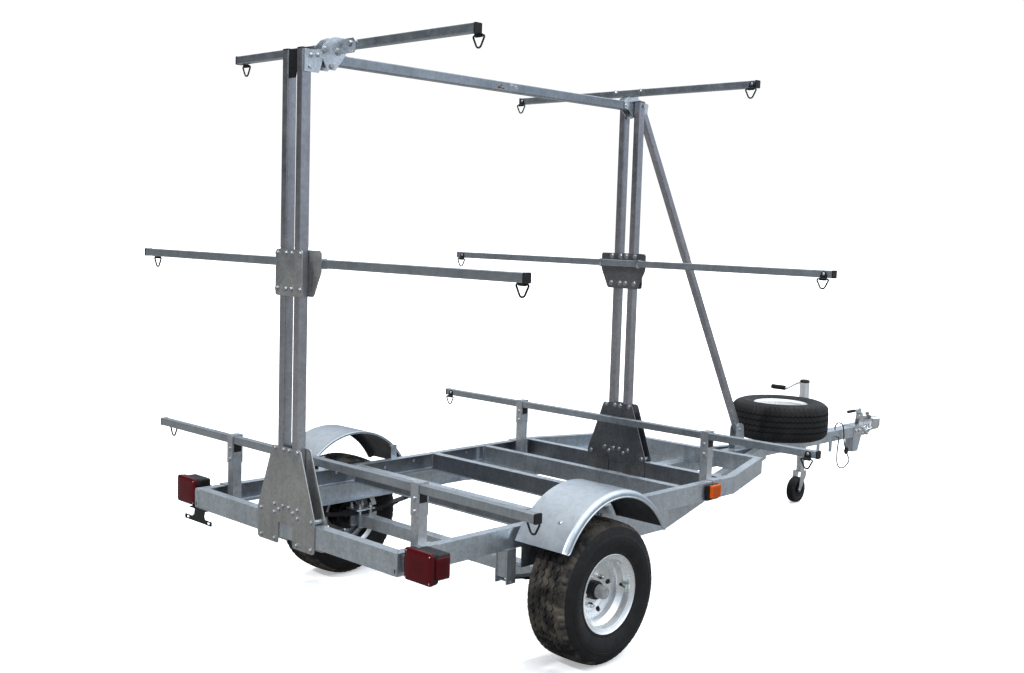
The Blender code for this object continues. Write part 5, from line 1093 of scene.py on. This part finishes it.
class TRAILER_OT_wheels(bpy.types.Operator):
    """Press the rims and fit their hubs, nuts and valves"""

    bl_idname = "trailer.wheels"
    bl_label = "Rims and hubs"

    def execute(self, context):
        stem = ((0.119, 0.038, 0.0075), (0.1165, 0.0425, 0.0062), (0.1125, 0.05, 0.0044),
                (0.1085, 0.0575, 0.0038), (0.106, 0.0625, 0.0036))
        cap = ((0.1062, 0.062, 0.004), (0.106, 0.063, 0.005), (0.1028, 0.0705, 0.0048),
               (0.102, 0.0722, 0.003))
        for _, name, body, _, centre, turn in WHEELS:
            hub = body != "chassis"
            parts = [("sheet", "rim_zinc", self.shell(hub)), ("valve", "black_plastic", self.valve(stem)),
                     ("valve_cap", "green_cap", self.valve(cap))]
            if hub:
                parts += [("hub", "black_steel", self.hub()), ("hub_cap", "dull_cap", self.cap()),
                          ("nuts", "chrome", self.nuts(range(5), 0.026))]
            else:
                parts.append(("nuts", "bright_zinc", self.nuts((0, 2), 0.028)))
            for part, finish, bm in parts:
                set_on(bm, turn, centre)
                sheet = part == "sheet"
                piece(f"{name}_{part}", bm, finish, [name] if sheet else (), body=body, angle=30,
                      also=["rim_inside"] if sheet else ())
        return {"FINISHED"}

    def shell(self, hub):
        """The dished disc and the barrel with its bead seats, lying flat, with its holes."""
        inner = 0.034 if hub else 0.036
        front = [(inner, 0.0015), (0.046, 0.0015), (0.05, 0.0035), (0.066, 0.0035), (0.072, 0.001),
                 (0.08, 0.0015), (0.088, 0.004), (0.097, 0.0085), (0.1045, 0.011), (0.105, 0.0125),
                 (0.105, 0.03), (0.1075, 0.035), (0.1155, 0.043), (0.1225, 0.05), (0.124, 0.053),
                 (0.124, 0.074), (0.1255, 0.0785), (0.132, 0.0815), (0.1385, 0.084), (0.1415, 0.0862),
                 (0.143, 0.088), (0.1443, 0.0874), (0.1448, 0.0855), (0.1435, 0.0838)]
        back = [(0.127, 0.0775), (0.127, 0.05), (0.108, 0.03), (0.108, -0.04), (0.127, -0.052),
                (0.127, -0.0775), (0.144, -0.0855), (0.1435, -0.088), (0.1405, -0.087), (0.125, -0.0795),
                (0.124, -0.076), (0.124, -0.0545), (0.1225, -0.052), (0.1055, -0.0415), (0.105, -0.038),
                (0.105, 0.004), (0.1045, 0.006), (0.097, 0.0045), (0.088, 0.0005), (0.08, -0.002),
                (inner, -0.002)]
        bm = bmesh.new()
        spun(bm, "Z", ORIGIN, front + back, 96, closed=True)
        holes = [(0.089, tau * k / 5 + RIM_TURN, 0.01) for k in range(5)]
        if not hub:
            holes += [(BOLT_CIRCLE, tau * (k + 0.5) / 5 + RIM_TURN, 0.0055) for k in (1, 3, 4)]
        cutters = meshes(len(holes))
        for cutter, (circle, angle, radius) in zip(cutters, holes):
            spun(cutter, "Z", (*polar(circle, angle), 0),
                 [(0, -0.03), (radius, -0.03), (radius, 0.03), (0, 0.03)], 24)
        made = cut(bm, cutters)
        # The inside of the barrel and the back of the disc take the dark copy of the rim's zinc: painted
        # shade
        for face in made.faces:
            middle = face.calc_center_median()
            face.material_index = 1 if middle.z < -0.001 and hypot(middle.x, middle.y) < 0.1262 else 0
        return made

    def hub(self):
        """The cast hub behind and through the disc, with the drum behind it."""
        bm = bmesh.new()
        spun(bm, "Z", ORIGIN, [(0, -0.072), (0.058, -0.072), (0.062, -0.068), (0.062, -0.016),
                               (0.058, -0.012), (0, -0.012)], 48)
        spun(bm, "Z", ORIGIN, [(0, -0.09), (0.03, -0.09), (0.034, -0.086), (0.034, 0.026), (0.0325, 0.03),
                               (0.0275, 0.0315), (0.027, 0.036), (0, 0.036)], 40)
        return bm

    def cap(self):
        """The pressed dust cap."""
        bm = bmesh.new()
        spun(bm, "Z", ORIGIN, [(0, 0.03), (0.0255, 0.03), (0.0258, 0.034), (0.0243, 0.037), (0.024, 0.06),
                               (0.023, 0.065), (0.02, 0.0685), (0.015, 0.069), (0.013, 0.068),
                               (0, 0.0683)], 40)
        return bm

    def nuts(self, indexes, top):
        """Cone-seated nuts on their studs, which end at the top."""
        bm = bmesh.new()
        seat = 0.0035
        low, high = seat - 0.003, seat + 0.001
        for index in indexes:
            angle = tau * (index + 0.5) / 5 + RIM_TURN
            at = Vector((*polar(BOLT_CIRCLE, angle), 0))
            spun(bm, "Z", at, [(0, low), (0.0085, low), (0.0105, high), (0, high)], 24)
            hexagon(bm, "Z", at + Vector((0, 0, high)), 1, 0.0104, 0.015, angle)
            rod(bm, "Z", at, 0.0057, seat, top, 16, 0.001)
        return bm

    def valve(self, rows):
        """The rubber stem in the barrel's slope, or its cap: rows of (out, up, radius)."""
        bm = bmesh.new()
        out = Vector((*polar(1, 0.03), 0))
        along_path(bm, [out * r + Vector((0, 0, up)) for r, up, _ in rows], [size for _, _, size in rows], 16)
        return bm


class TRAILER_OT_fenders(bpy.types.Operator):
    """Roll the two fenders, with their stays and bolts"""

    bl_idname = "trailer.fenders"
    bl_label = "Fenders"

    def execute(self, context):
        stays, bolts = meshes(2)
        offset = 0.2
        height = FENDER_Z + sqrt((FENDER_R - 0.008) ** 2 - offset ** 2)
        for ahead in BOTH:
            y = WHEEL.y + ahead * offset
            wide = (y - 0.016, y + 0.016)
            bar(stays, "Z", STAY, wide, 0.44, height, 0.0012, 0.0008)
            bar(stays, "Z", (STAY[0], 0.622), wide, height - 0.004, height, 0.0012, 0.0008)
            head(bolts, "X", (STAY[1], y, 0.473), 1)
            angle = radians(ahead * 44.9)
            out = Vector((0, sin(angle), cos(angle)))
            for x in (0.7768, 0.65):
                self.round_head(bolts, Vector((x, WHEEL.y, FENDER_Z)) + out * FENDER_R, out)
        pair("fender_{}_sheet", self.sheet(), "rolled_sheet", "fender_{}", ["fender_inside"])
        pair("fender_{}_stays", stays, "galvanised")
        pair("fender_{}_bolts", bolts, "bolt_zinc")
        return {"FINISHED"}

    def round_head(self, bm, at, out):
        """A carriage bolt's head on the curved sheet."""
        made = bmesh.new()
        dome(made, "Z", ORIGIN, 1, 0.0085, 0.004)
        set_on(made, AXES["Z"].rotation_difference(out).to_matrix(), at)
        add_mesh(bm, made)

    def sheet(self):
        """The right-hand sheet: a flat crown, a rounded shoulder and a skirt with a rolled bead."""
        thick, shoulder, skirt = 0.002, 0.017, 0.028
        top, corner_x = FENDER_R, FENDER_OUT - shoulder
        corner_r = top - shoulder
        outer = [(FENDER_IN, top - 0.01), (FENDER_IN, top - 0.0022), (FENDER_IN + 0.0007, top - 0.0007),
                 (FENDER_IN + 0.0022, top), (FENDER_IN + 0.01, top), (corner_x - 0.02, top),
                 (corner_x - 0.004, top)]
        outer += [polar(shoulder, pi / 2 * (1 - k / 9), corner_x, corner_r) for k in range(10)]
        bead_r = top - skirt + 0.003
        outer += [(FENDER_OUT, bead_r + 0.0035)]
        outer += [polar(0.003, radians(turn), FENDER_OUT - 0.0008, bead_r) for turn in range(60, -151, -30)]
        inner = [(FENDER_OUT - thick, bead_r + 0.0035), (FENDER_OUT - thick, corner_r)]
        inner += [polar(shoulder - thick, pi / 2 * k / 6, corner_x, corner_r) for k in range(1, 7)]
        inner += [(FENDER_IN + thick, top - thick), (FENDER_IN + thick, top - 0.01)]
        section = outer + inner
        half_angle = asin(FENDER_CHORD / top)
        steps, ease = 64, 0.016
        bm = bmesh.new()
        rings = []
        places = [half_angle * (2 * k / steps - 1) for k in range(steps + 1)]
        places += [side * (half_angle - d / top)
                   for side in BOTH for d in (0.0006, 0.002, 0.0045, 0.008, 0.012)]
        for angle in sorted(places):
            inside = (half_angle - abs(angle)) * top
            drop = 0.0 if inside >= ease else ease - sqrt(ease ** 2 - (ease - inside) ** 2)
            ring = []
            for x, r in section:
                share = min(1.0, max(0.0, (top - r) / skirt))
                raised = r + share * min(drop, skirt * 0.6)
                ring.append(Vector((x, WHEEL.y + raised * sin(angle), FENDER_Z + raised * cos(angle))))
            rings.append(ring)
        loft(bm, rings)
        # The fender's underside faces take the dark copy of its tone: painted shade
        hidden = range(len(outer), len(section) - 1)
        for number, face in enumerate(bm.faces):
            face.material_index = 1 if number % len(section) in hidden and len(face.verts) == 4 else 0
        return bm


class TRAILER_OT_lights(bpy.types.Operator):
    """Fit the tail lights, the number-plate bracket and the side markers"""

    bl_idname = "trailer.lights"
    bl_label = "Lights"

    def execute(self, context):
        housing, red, screws, bracket = self.tail()
        pair("tail_light_{}_housing", housing, "lamp_housing", "tail_light_{}")
        pair("tail_light_{}_lens", red, "red_lens")
        pair("tail_light_{}_screws", screws, "chrome")
        pair("tail_light_{}_bracket", bracket, "galvanised")
        piece("plate_bracket", self.plate_bracket(), "black_steel", angle=20)
        base, amber = self.marker()
        pair("side_marker_{}_base", base, "lamp_housing", "side_marker_{}")
        pair("side_marker_{}_lens", amber, "amber_lens")
        return {"FINISHED"}

    def pillow(self, bm, axis, first, second, radius, *rows):
        """A moulded block whose outline draws in as it rises: rows of (place along the axis, inset)."""
        loft(bm, rows_of(axis, *((along, rounded((first[0] + inset, first[1] - inset),
                                                 (second[0] + inset, second[1] - inset),
                                                 max(0.0015, radius - inset * 0.4), 5))
                                 for along, inset in rows)))

    def tail(self):
        """The right-hand lamp: housing, rear and side lenses, screws and bracket."""
        x, z = (0.625, 0.755), (0.427, 0.532)
        housing, red, screws, bracket = meshes(4)
        self.pillow(housing, "Y", x, z, 0.012, (-0.076, 0.006), (-0.079, 0.003), (-0.086, 0.0015),
                    (-0.098, 0.001))
        self.pillow(housing, "Y", (0.64, 0.754), (0.442, 0.524), 0.006, (-0.03, 0.003), (-0.033, 0.0),
                    (-0.08, 0.0))
        self.pillow(housing, "X", (-0.096, -0.036), (0.447, 0.519), 0.006, (0.745, 0.0), (0.7545, 0.0),
                    (0.756, 0.0008))
        self.pillow(red, "Y", x, z, 0.012, (-0.0985, 0.0002), (-0.108, 0.0), (-0.1105, 0.0012),
                    (-0.1125, 0.005), (-0.1138, 0.013), (-0.1146, 0.026), (-0.115, 0.04))
        self.pillow(red, "X", (-0.094, -0.038), (0.449, 0.517), 0.006, (0.7555, 0.0), (0.76, 0.0),
                    (0.7618, 0.0012), (0.7628, 0.006), (0.7634, 0.016))
        for sx in (x[0] + 0.01, x[1] - 0.01):
            for sz in (z[0] + 0.01, z[1] - 0.01):
                dome(screws, "Y", (sx, -0.1122, sz), -1, 0.0032, 0.0016)
        for sz in (0.455, 0.511):
            dome(screws, "X", (0.7612, -0.0445, sz), 1, 0.0026, 0.0014)
        plate(bracket, "Z", [(STAY[0], -0.098), (STAY[1], -0.098), (STAY[1], -0.03), (0.69, -0.03),
                             (0.69, -0.026), (STAY[0], -0.026)], 0.44, 0.496, 0.0006)
        head(bracket, "X", (STAY[1], -0.063, 0.468), 1)
        return housing, red, screws, bracket

    def plate_bracket(self):
        """The black strap under the frame's left end and the slotted plate that it carries."""
        rear = REAR_MAST_Y - 0.005
        y, lobe = (rear, rear + 0.003), 0.404
        low, high, under, middle, lug = 0.375, 0.393, 0.4277, -0.575, 0.0055
        bm = bmesh.new()
        bar(bm, "X", y, (low, high), middle - 0.064, middle + 0.064, 0.001)
        for side in BOTH:
            for z in ((low, low + lug), (high - lug, high)):
                bar(bm, "X", y, z, *sorted((middle + side * 0.06, middle + side * 0.09)), 0.001)
            bar(bm, "Y", sorted((middle + side * 0.083, middle + side * 0.095)), (low, high),
                *y, 0.0045, 0.0004)
        plate(bm, "Y", [(-0.618, high - 0.001), (-0.526, high - 0.001), (-0.533, lobe), (-0.526, under),
                        (-0.6, under), (-0.604, lobe)], *y, 0)
        bar(bm, "Y", (-0.64, -0.52), (under - 0.003, under - LAP), rear + 0.0004, rear + 0.034, 0.0008)
        return bm

    def marker(self):
        """The right-hand amber marker on its black base."""
        base, amber = meshes(2)
        inner = 0.6086
        self.pillow(base, "X", (1.5655, 1.652), (0.43, 0.495), 0.004, (inner, 0.0), (inner + 0.009, 0.0),
                    (inner + 0.0105, 0.0012))
        self.pillow(amber, "X", (1.582, 1.65), (0.438, 0.4935), 0.005, (inner + 0.01, 0.0),
                    (inner + 0.02, 0.0004), (inner + 0.0228, 0.0022), (inner + 0.0235, 0.006),
                    (inner + 0.024, 0.014))
        for step in range(4):
            at = 1.595 + 0.014 * step
            bar(amber, "X", (at - 0.001, at + 0.001), (0.444, 0.4875), inner + 0.02, inner + 0.0246,
                0.0006, 0.0004, 2)
        return base, amber


class TRAILER_OT_springs(bpy.types.Operator):
    """Stack the leaf springs between the frame and the axle, and finish the axle"""

    bl_idname = "trailer.springs"
    bl_label = "Axle and springs"

    def execute(self, context):
        dress("axle", "galvanised", 0.0015)
        plates, nuts = meshes(2)
        top = SPRING_TOP + GAP + LEAF
        high = top + 0.0006
        for hand, side in SIDES:
            x = side * SPRING_X
            plate(plates, "Z", rounded((x - 0.038, x + 0.038), (WHEEL.y - 0.0505, WHEEL.y + 0.0505), 0.006),
                  top - 0.0055, high, 0.0005)
            for dx in (-0.0285, 0.0285):
                for dy in (-0.029, 0.029):
                    at = Vector((x + dx, WHEEL.y + dy, high))
                    hexagon(nuts, "Z", at, 1, 0.0095, 0.008, 0.2)
                    rod(nuts, "Z", at, 0.005, 0.006, 0.021, 14, 0.0006)
            for ahead, half in ((-1, "rear"), (1, "front")):
                made = piece(f"spring_{hand}_{half}", self.leaves(x, ahead), "black_steel",
                             [f"leaf_spring_{hand}"] if ahead > 0 else (), body=None)
                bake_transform(made)
        piece("spring_tie_plates", plates, "bright_zinc", body="axle_set", angle=20)
        piece("spring_tie_nuts", nuts, "bolt_zinc", body="axle_set")
        return {"FINISHED"}

    def leaves(self, x, ahead):
        """Half of a pack of three leaves, drawn from the axle to one end, with an eye at the front."""
        bm = bmesh.new()
        count = 14
        for index, reach in enumerate((SPRING_HALF, 0.2, 0.115)):
            rows = []
            for step in range(count + 1):
                along = reach * step / count
                rise = SPRING_RISE * (max(0.0, along - SPRING_SEAT) / (SPRING_HALF - SPRING_SEAT)) ** 2
                high = SPRING_TOP + rise - LEAF * index
                half = 0.0225 * (1.0 if index == 0 or step < count - 1 else 0.78)
                rows.append((WHEEL.y + ahead * along,
                             rounded((x - half, x + half), (high - 0.0057, high - 0.0001), 0.0015, 2)))
            loft(bm, rows_of("Y", *rows))
        if ahead > 0:
            half_eye = [(0.0078, -0.0225), (0.013, -0.0225), (0.0135, -0.022)]
            spun(bm, "X", (x, WHEEL.y + SPRING_HALF, SPRING_TOP + SPRING_RISE + 0.003),
                 half_eye + across(half_eye), 24, closed=True)
        return bm


class TRAILER_OT_frame(bpy.types.Operator):
    """Finish the frame, the drawbar, the posts and the head brackets"""

    bl_idname = "trailer.frame"
    bl_label = "Frame, drawbar and posts"

    def execute(self, context):
        dress("ladder_frame", "frame_steel", 0.0014)
        dress("drawbar", "galvanised", 0.0014)
        for hand in ("rear_left", "rear_right", "front_left", "front_right"):
            dress(f"riser_{hand}", "riser_steel", 0.001)
        for node in ("top_bracket_rear", "top_bracket_front"):
            dress(node, "bright_zinc", 0.0007)
        self.welds()
        self.bolts()
        self.head_bolts()
        self.riser_caps()
        return {"FINISHED"}

    def welds(self):
        """Weld beads where the crossmembers meet the rails."""
        bm = bmesh.new()
        for side in BOTH:
            x = side * (RAIL_HALF - CHANNEL_FLANGE - 0.0008)
            for y in CROSSMEMBERS_Y:
                bead(bm, (x, y - 0.0006, 0.434), (x, y - 0.0006, 0.499), 0.0024)
                bead(bm, (x, y + 0.003, FRAME_TOP + LAP), (x, y + 0.035, FRAME_TOP + LAP), 0.0022)
            x = side * RAIL_HALF
            bead(bm, (side * (RAIL_HALF - 0.004), REAR_MAST_Y + 0.0034, FRAME_TOP),
                 (side * 0.569, REAR_MAST_Y + 0.036, FRAME_TOP), 0.002)
            bead(bm, (x, REAR_MAST_Y + 0.0008, 0.432), (x, REAR_MAST_Y + 0.0008, 0.5), 0.0018)
        piece("weld_beads", bm, "weld", angle=60)

    def bolts(self):
        """Bolts in the rails' webs, and the rear crossmember's end lips with their slots."""
        bright, lips, slots = meshes(3)
        for side in BOTH:
            for y, z in ((0.245, 0.47), (0.3, 0.452), (0.56, 0.478), (0.83, 0.466), (1.0, 0.478),
                         (1.245, 0.466), (1.33, 0.478), (1.52, 0.466)):
                dome(bright, "X", (side * (RAIL_HALF - RAIL_WALL), y, z), -side, 0.007, 0.004)
            plate(lips, "Y", rounded(ends(side, 0.5795, 0.6032), (0.4315, 0.5005), 0.006),
                  REAR_MAST_Y - 0.0014, REAR_MAST_Y + 0.0004, 0.0005)
            bar(slots, "Y", ends(side, 0.5915, 0.596), (0.439, 0.452), REAR_MAST_Y - 0.0018,
                REAR_MAST_Y - 0.001, 0.0018, 0.0002)
        piece("rail_bolts", bright, "bolt_zinc")
        piece("crossmember_lips", lips, "galvanised")
        piece("lip_slots", slots, "black_plastic")

    def head_bolts(self):
        """The bolts of the brackets on the mast heads and of the top bars."""
        bolts = bmesh.new()
        outer, tab = SPREADER_HALF + 0.0053, MAST_INNER + MAST_WIDE + 0.0045
        for side in BOTH:
            for y, z, size in ((-0.004, 2.1395, 0.0098), (0.054, 2.1395, 0.0098), (0.027, 2.0865, 0.0085)):
                head(bolts, "X", (side * outer, y, z), side, size)
            for y, z in ((-0.0905, 2.07), (-0.088, 2.108), (-0.0605, 2.1115)):
                dome(bolts, "X", (side * tab, y, z), side, 0.0085, 0.0052)
            for x, y in ((0.052, 0.0843), (0.0715, 1.699)):
                head(bolts, "Y", (side * x, y, 2.171), -1, 0.0095)
            dome(bolts, "Z", (side * 0.0715, 1.714, 2.1828), 1, 0.012, 0.0056)
        piece("head_bolts", bolts, "bolt_zinc")

    def riser_caps(self):
        """The black plugs in the posts' heads, under the straps."""
        caps = bmesh.new()
        for y in RISERS_Y:
            for side in BOTH:
                bar(caps, "Z", ends(side, RISER_INNER - 0.0004, RISER_INNER + 0.0384), (y - LAP, y + 0.0382),
                    0.642, 0.6739, 0.0034, 0.001)
        piece("riser_caps", caps, "black_plastic")


class TRAILER_OT_coupler(bpy.types.Operator):
    """Finish the coupler, with its latch, lever, spring, knob and chain"""

    bl_idname = "trailer.coupler"
    bl_label = "Coupler"

    def execute(self, context):
        dress("coupler", "chrome", 0.001)
        self.lever()
        self.latch()
        self.chain()
        return {"FINISHED"}

    def lever(self):
        """The latch lever: a pressed arm with a rib, and a ribbed black grip."""
        arm, grip = meshes(2)
        y, z = LEVER.y, LEVER.z
        high = z + 0.021
        outline = [(3.996, high - 0.0058), (y - 0.03, high - 0.013), (y - 0.006, z - 0.0088),
                   (y + 0.006, z - 0.0088), (y + 0.0115, z - 0.002), (y + 0.0115, z + 0.01),
                   (y + 0.004, z + 0.028), (y - 0.004, z + 0.0335), (y - 0.016, z + 0.0335),
                   (y - 0.034, high + 0.0062), (3.996, high + 0.0058)]
        half = 0.0078
        plate(arm, "X", outline, -half, half, 0.0014)
        boss = [(0.0062, -half - 0.0008), (0.0092, -half - 0.0008)]
        spun(arm, "X", (0, y, z), boss + across(boss), 24, closed=True)
        rib = ((0.0092, 0), (0.0092, 0.0052), (0.008, 0.0062), (0.008, 0.0082))
        spun(grip, "Y", (0, 0, high), [(0, 3.9155), (0.0072, 3.9155), (0.0088, 3.918),
                                       *repeated(rib, 8, 3.921, 0.0092),
                                       (0.0086, 3.9965), (0.0072, 4.0005), (0, 4.0005)], 24)
        piece("coupler_lever_arm", arm, "bright_zinc", ["coupler_lever"], body="lever")
        piece("coupler_lever_grip", grip, "grip_rubber", body="lever", angle=30)

    def latch(self):
        """The pivot's heads, the sleeve's bolts, the adjusting nut on its stud and the spring under it."""
        bright, coil, knob = meshes(3)
        for side in BOTH:
            head(bright, "X", (side * 0.015, LEVER.y, LEVER.z), side, 0.0075)
            for y in (3.952, 3.99):
                head(bright, "X", (side * 0.0434, y, 0.402), side, 0.0088)
        post, seat, rod_z = 4.162, TONGUE_TOP + 0.0045, 0.4585
        turns, high, coil_r = 5.5, 0.04, 0.0105
        along_path(coil, [(*polar(coil_r, a, 0, post), seat + 0.002 + high * a / (tau * turns))
                          for a in (tau * turns * k / 88 for k in range(89))], 0.0016, 8)
        washer(bright, "Z", (0, post, seat + high + 0.004), 1, 0.0135, 0.0016)
        hexagon(bright, "Z", (0, post, seat + high + 0.0054), 1, 0.0095, 0.006)
        spun(knob, "Z", (0, post, 0), [(0, 0.4795), (0.0105, 0.4795), (0.0122, 0.482), (0.0122, 0.4885),
                                       (0.0105, 0.492), (0.006, 0.4935), (0, 0.494)], 28)
        rod(bright, "Y", (0, 0, rod_z), 0.0045, 4.092, 4.205, 16)
        hexagon(bright, "Y", (0, 4.2005, rod_z), 1, 0.008, 0.006)
        for y in (4.112, 4.136, 4.186):
            bar(bright, "Y", (-0.0125, 0.0125), (0.4465, 0.4705), y, y + 0.0032)
        piece("coupler_hardware", bright, "chrome")
        piece("coupler_spring", coil, "black_steel", angle=60)
        piece("coupler_knob", knob, "tan_knob")

    def chain(self):
        """A bunch of the safety chain's links, shackled to the coupler's right side."""
        links = bmesh.new()
        places = ((4.046, 0.415, 0.2, 0), (4.061, 0.404, 0.9, 1), (4.07, 0.39, -0.4, 0),
                  (4.083, 0.379, 0.6, 1), (4.096, 0.389, -0.9, 0), (4.104, 0.404, 0.3, 1),
                  (4.116, 0.415, 1.2, 0))
        path = []
        for a in (tau * k / 20 for k in range(20)):
            stretch = copysign(0.0065, cos(a)) if abs(cos(a)) > 1e-6 else 0
            path.append((0.0, *polar(0.0085, a, stretch)))
        for y, z, lean, crossing in places:
            ring = bmesh.new()
            along_path(ring, path, 0.0032, 10, closed=True)
            turn = Matrix.Rotation(lean, 3, "X") @ Matrix.Rotation(1.1 if crossing else 0.15, 3, "Y")
            set_on(ring, turn, Vector((0.0505 if crossing else 0.0475, y, z)))
            add_mesh(links, ring)
        piece("chain_links", links, "chrome", angle=60)


class TRAILER_OT_jack(bpy.types.Operator):
    """Finish the jack: its tube, crank, leg, fork and caster"""

    bl_idname = "trailer.jack"
    bl_label = "Jack"

    def execute(self, context):
        self.tube()
        self.crank()
        dress("jack_leg", "bright_zinc")
        dress("jack_fork", "bright_zinc", 0.0006)
        self.caster()
        return {"FINISHED"}

    def tube(self):
        """The outer tube with its swivel flange and its black cap."""
        tube, cap = meshes(2)
        spun(tube, "Z", JACK, [(0.025, 0.27), (0.0276, 0.27), (0.028, 0.2706), (0.028, 0.7044),
                               (0.0276, 0.705), (0.025, 0.705)], 48, closed=True)
        spun(cap, "Z", JACK, [(0, 0.703), (0.0284, 0.703), (0.0284, 0.7105), (0.0262, 0.7165), (0.0215, 0.72),
                              (0, 0.72)], 48)
        rod(tube, "X", (0, JACK.y, 0.3972), 0.022, -0.115, -0.0812, 40, 0.0015)
        piece("jack_outer_tube", tube, "jack_silver", ["jack_tube"], body="jack")
        piece("jack_cap", cap, "black_plastic", body="jack")

    def crank(self):
        """The bent crank and its ribbed grip."""
        wire_mesh, grip = meshes(2)
        path = ((-0.127, 3.595, 0.698), (-0.148, 3.595, 0.698), (-0.1545, 3.5925, 0.6975),
                (-0.158, 3.586, 0.696), (-0.166, 3.503, 0.6745), (-0.1685, 3.495, 0.6725),
                (-0.1745, 3.4905, 0.672), (-0.186, 3.49, 0.672))
        along_path(wire_mesh, smooth(path, 40), 0.0058, 16)
        rib = ((0.0138, 0), (0.0138, 0.0046), (0.012, 0.0056), (0.012, 0.0074))
        spun(grip, "X", (0, 3.49, 0.672), [(0, -0.27), (0.011, -0.27), (0.0132, -0.2675),
                                           *repeated(rib, 10, -0.265, 0.0083),
                                           (0.013, -0.181), (0.011, -0.179), (0, -0.179)], 32)
        piece("jack_crank_rod", wire_mesh, "bolt_zinc", ["jack_crank"], body="crank", angle=60)
        piece("jack_crank_grip", grip, "grip_rubber", body="crank", angle=30)

    def caster(self):
        """The caster's tyre with its worn crown and the black hub."""
        centre = (JACK.x, 3.555, 0.075)
        tyre, hub = meshes(2)
        crown = [(0.048, -0.0215), (0.056, -0.0225), (0.064, -0.0222), (0.071, -0.0195), (0.074, -0.0145),
                 (0.0748, -0.007)]
        spun(tyre, "X", centre, crown + [(0.075, 0.0)] + across(crown), 64, closed=True)
        web = [(0.008, -0.022), (0.016, -0.022), (0.017, -0.0205), (0.0175, -0.012), (0.04, -0.01),
               (0.045, -0.019), (0.0485, -0.0212), (0.0492, -0.019)]
        spun(hub, "X", centre, web + across(web), 48, closed=True)
        piece("caster_tyre", tyre, "caster_rubber", ["jack_wheel"], body="caster_wheel")
        piece("caster_hub", hub, "black_plastic", body="caster_wheel")


class TRAILER_OT_plain(bpy.types.Operator):
    """Finish the nodes that have no piece of their own"""

    bl_idname = "trailer.plain"
    bl_label = "Plain finishes"

    def execute(self, context):
        looks = {row["node"]: row["material_slot"] for row in frame["record"]["subparts"]}
        for node, shown in frame["nodes"].items():
            if not shown.hide_render and not shown.data.materials[0].name.endswith("_finish"):
                dress(node, looks[node])
        return {"FINISHED"}


OPERATORS = (TRAILER_OT_stage, TRAILER_OT_finishes, TRAILER_OT_harness, TRAILER_OT_bars, TRAILER_OT_rings,
             TRAILER_OT_masts, TRAILER_OT_mast_plates, TRAILER_OT_frame, TRAILER_OT_tyres, TRAILER_OT_wheels,
             TRAILER_OT_fenders, TRAILER_OT_lights, TRAILER_OT_springs, TRAILER_OT_coupler, TRAILER_OT_jack,
             TRAILER_OT_plain)


class TRAILER_PT_panel(bpy.types.Panel):
    """The trailer's steps, in the 3D view's sidebar"""

    bl_idname = "TRAILER_PT_panel"
    bl_label = "Kayak trailer"
    bl_space_type = "VIEW_3D"
    bl_region_type = "UI"
    bl_category = "Trailer"

    def draw(self, context):
        for group in (context.scene.trailer_sizes, context.scene.trailer_colours):
            for key in group.__annotations__:
                self.layout.prop(group, key)
        for made in OPERATORS:
            self.layout.operator(made.bl_idname)


CLASSES = (TrailerSizes, TrailerColours, *OPERATORS, TRAILER_PT_panel)


def register():
    """Add the classes and the settings to Blender."""
    for made in CLASSES:
        bpy.utils.register_class(made)
    bpy.types.Scene.trailer_sizes = PointerProperty(type=TrailerSizes)
    bpy.types.Scene.trailer_colours = PointerProperty(type=TrailerColours)


def unregister():
    """Take them away again."""
    del bpy.types.Scene.trailer_sizes
    del bpy.types.Scene.trailer_colours
    for made in reversed(CLASSES):
        bpy.utils.unregister_class(made)


def main():
    """Dress the trailer, piece by piece."""
    register()
    for made in OPERATORS:
        group, name = made.bl_idname.split(".")
        getattr(getattr(bpy.ops, group), name)()


if __name__ == "__main__":
    main()
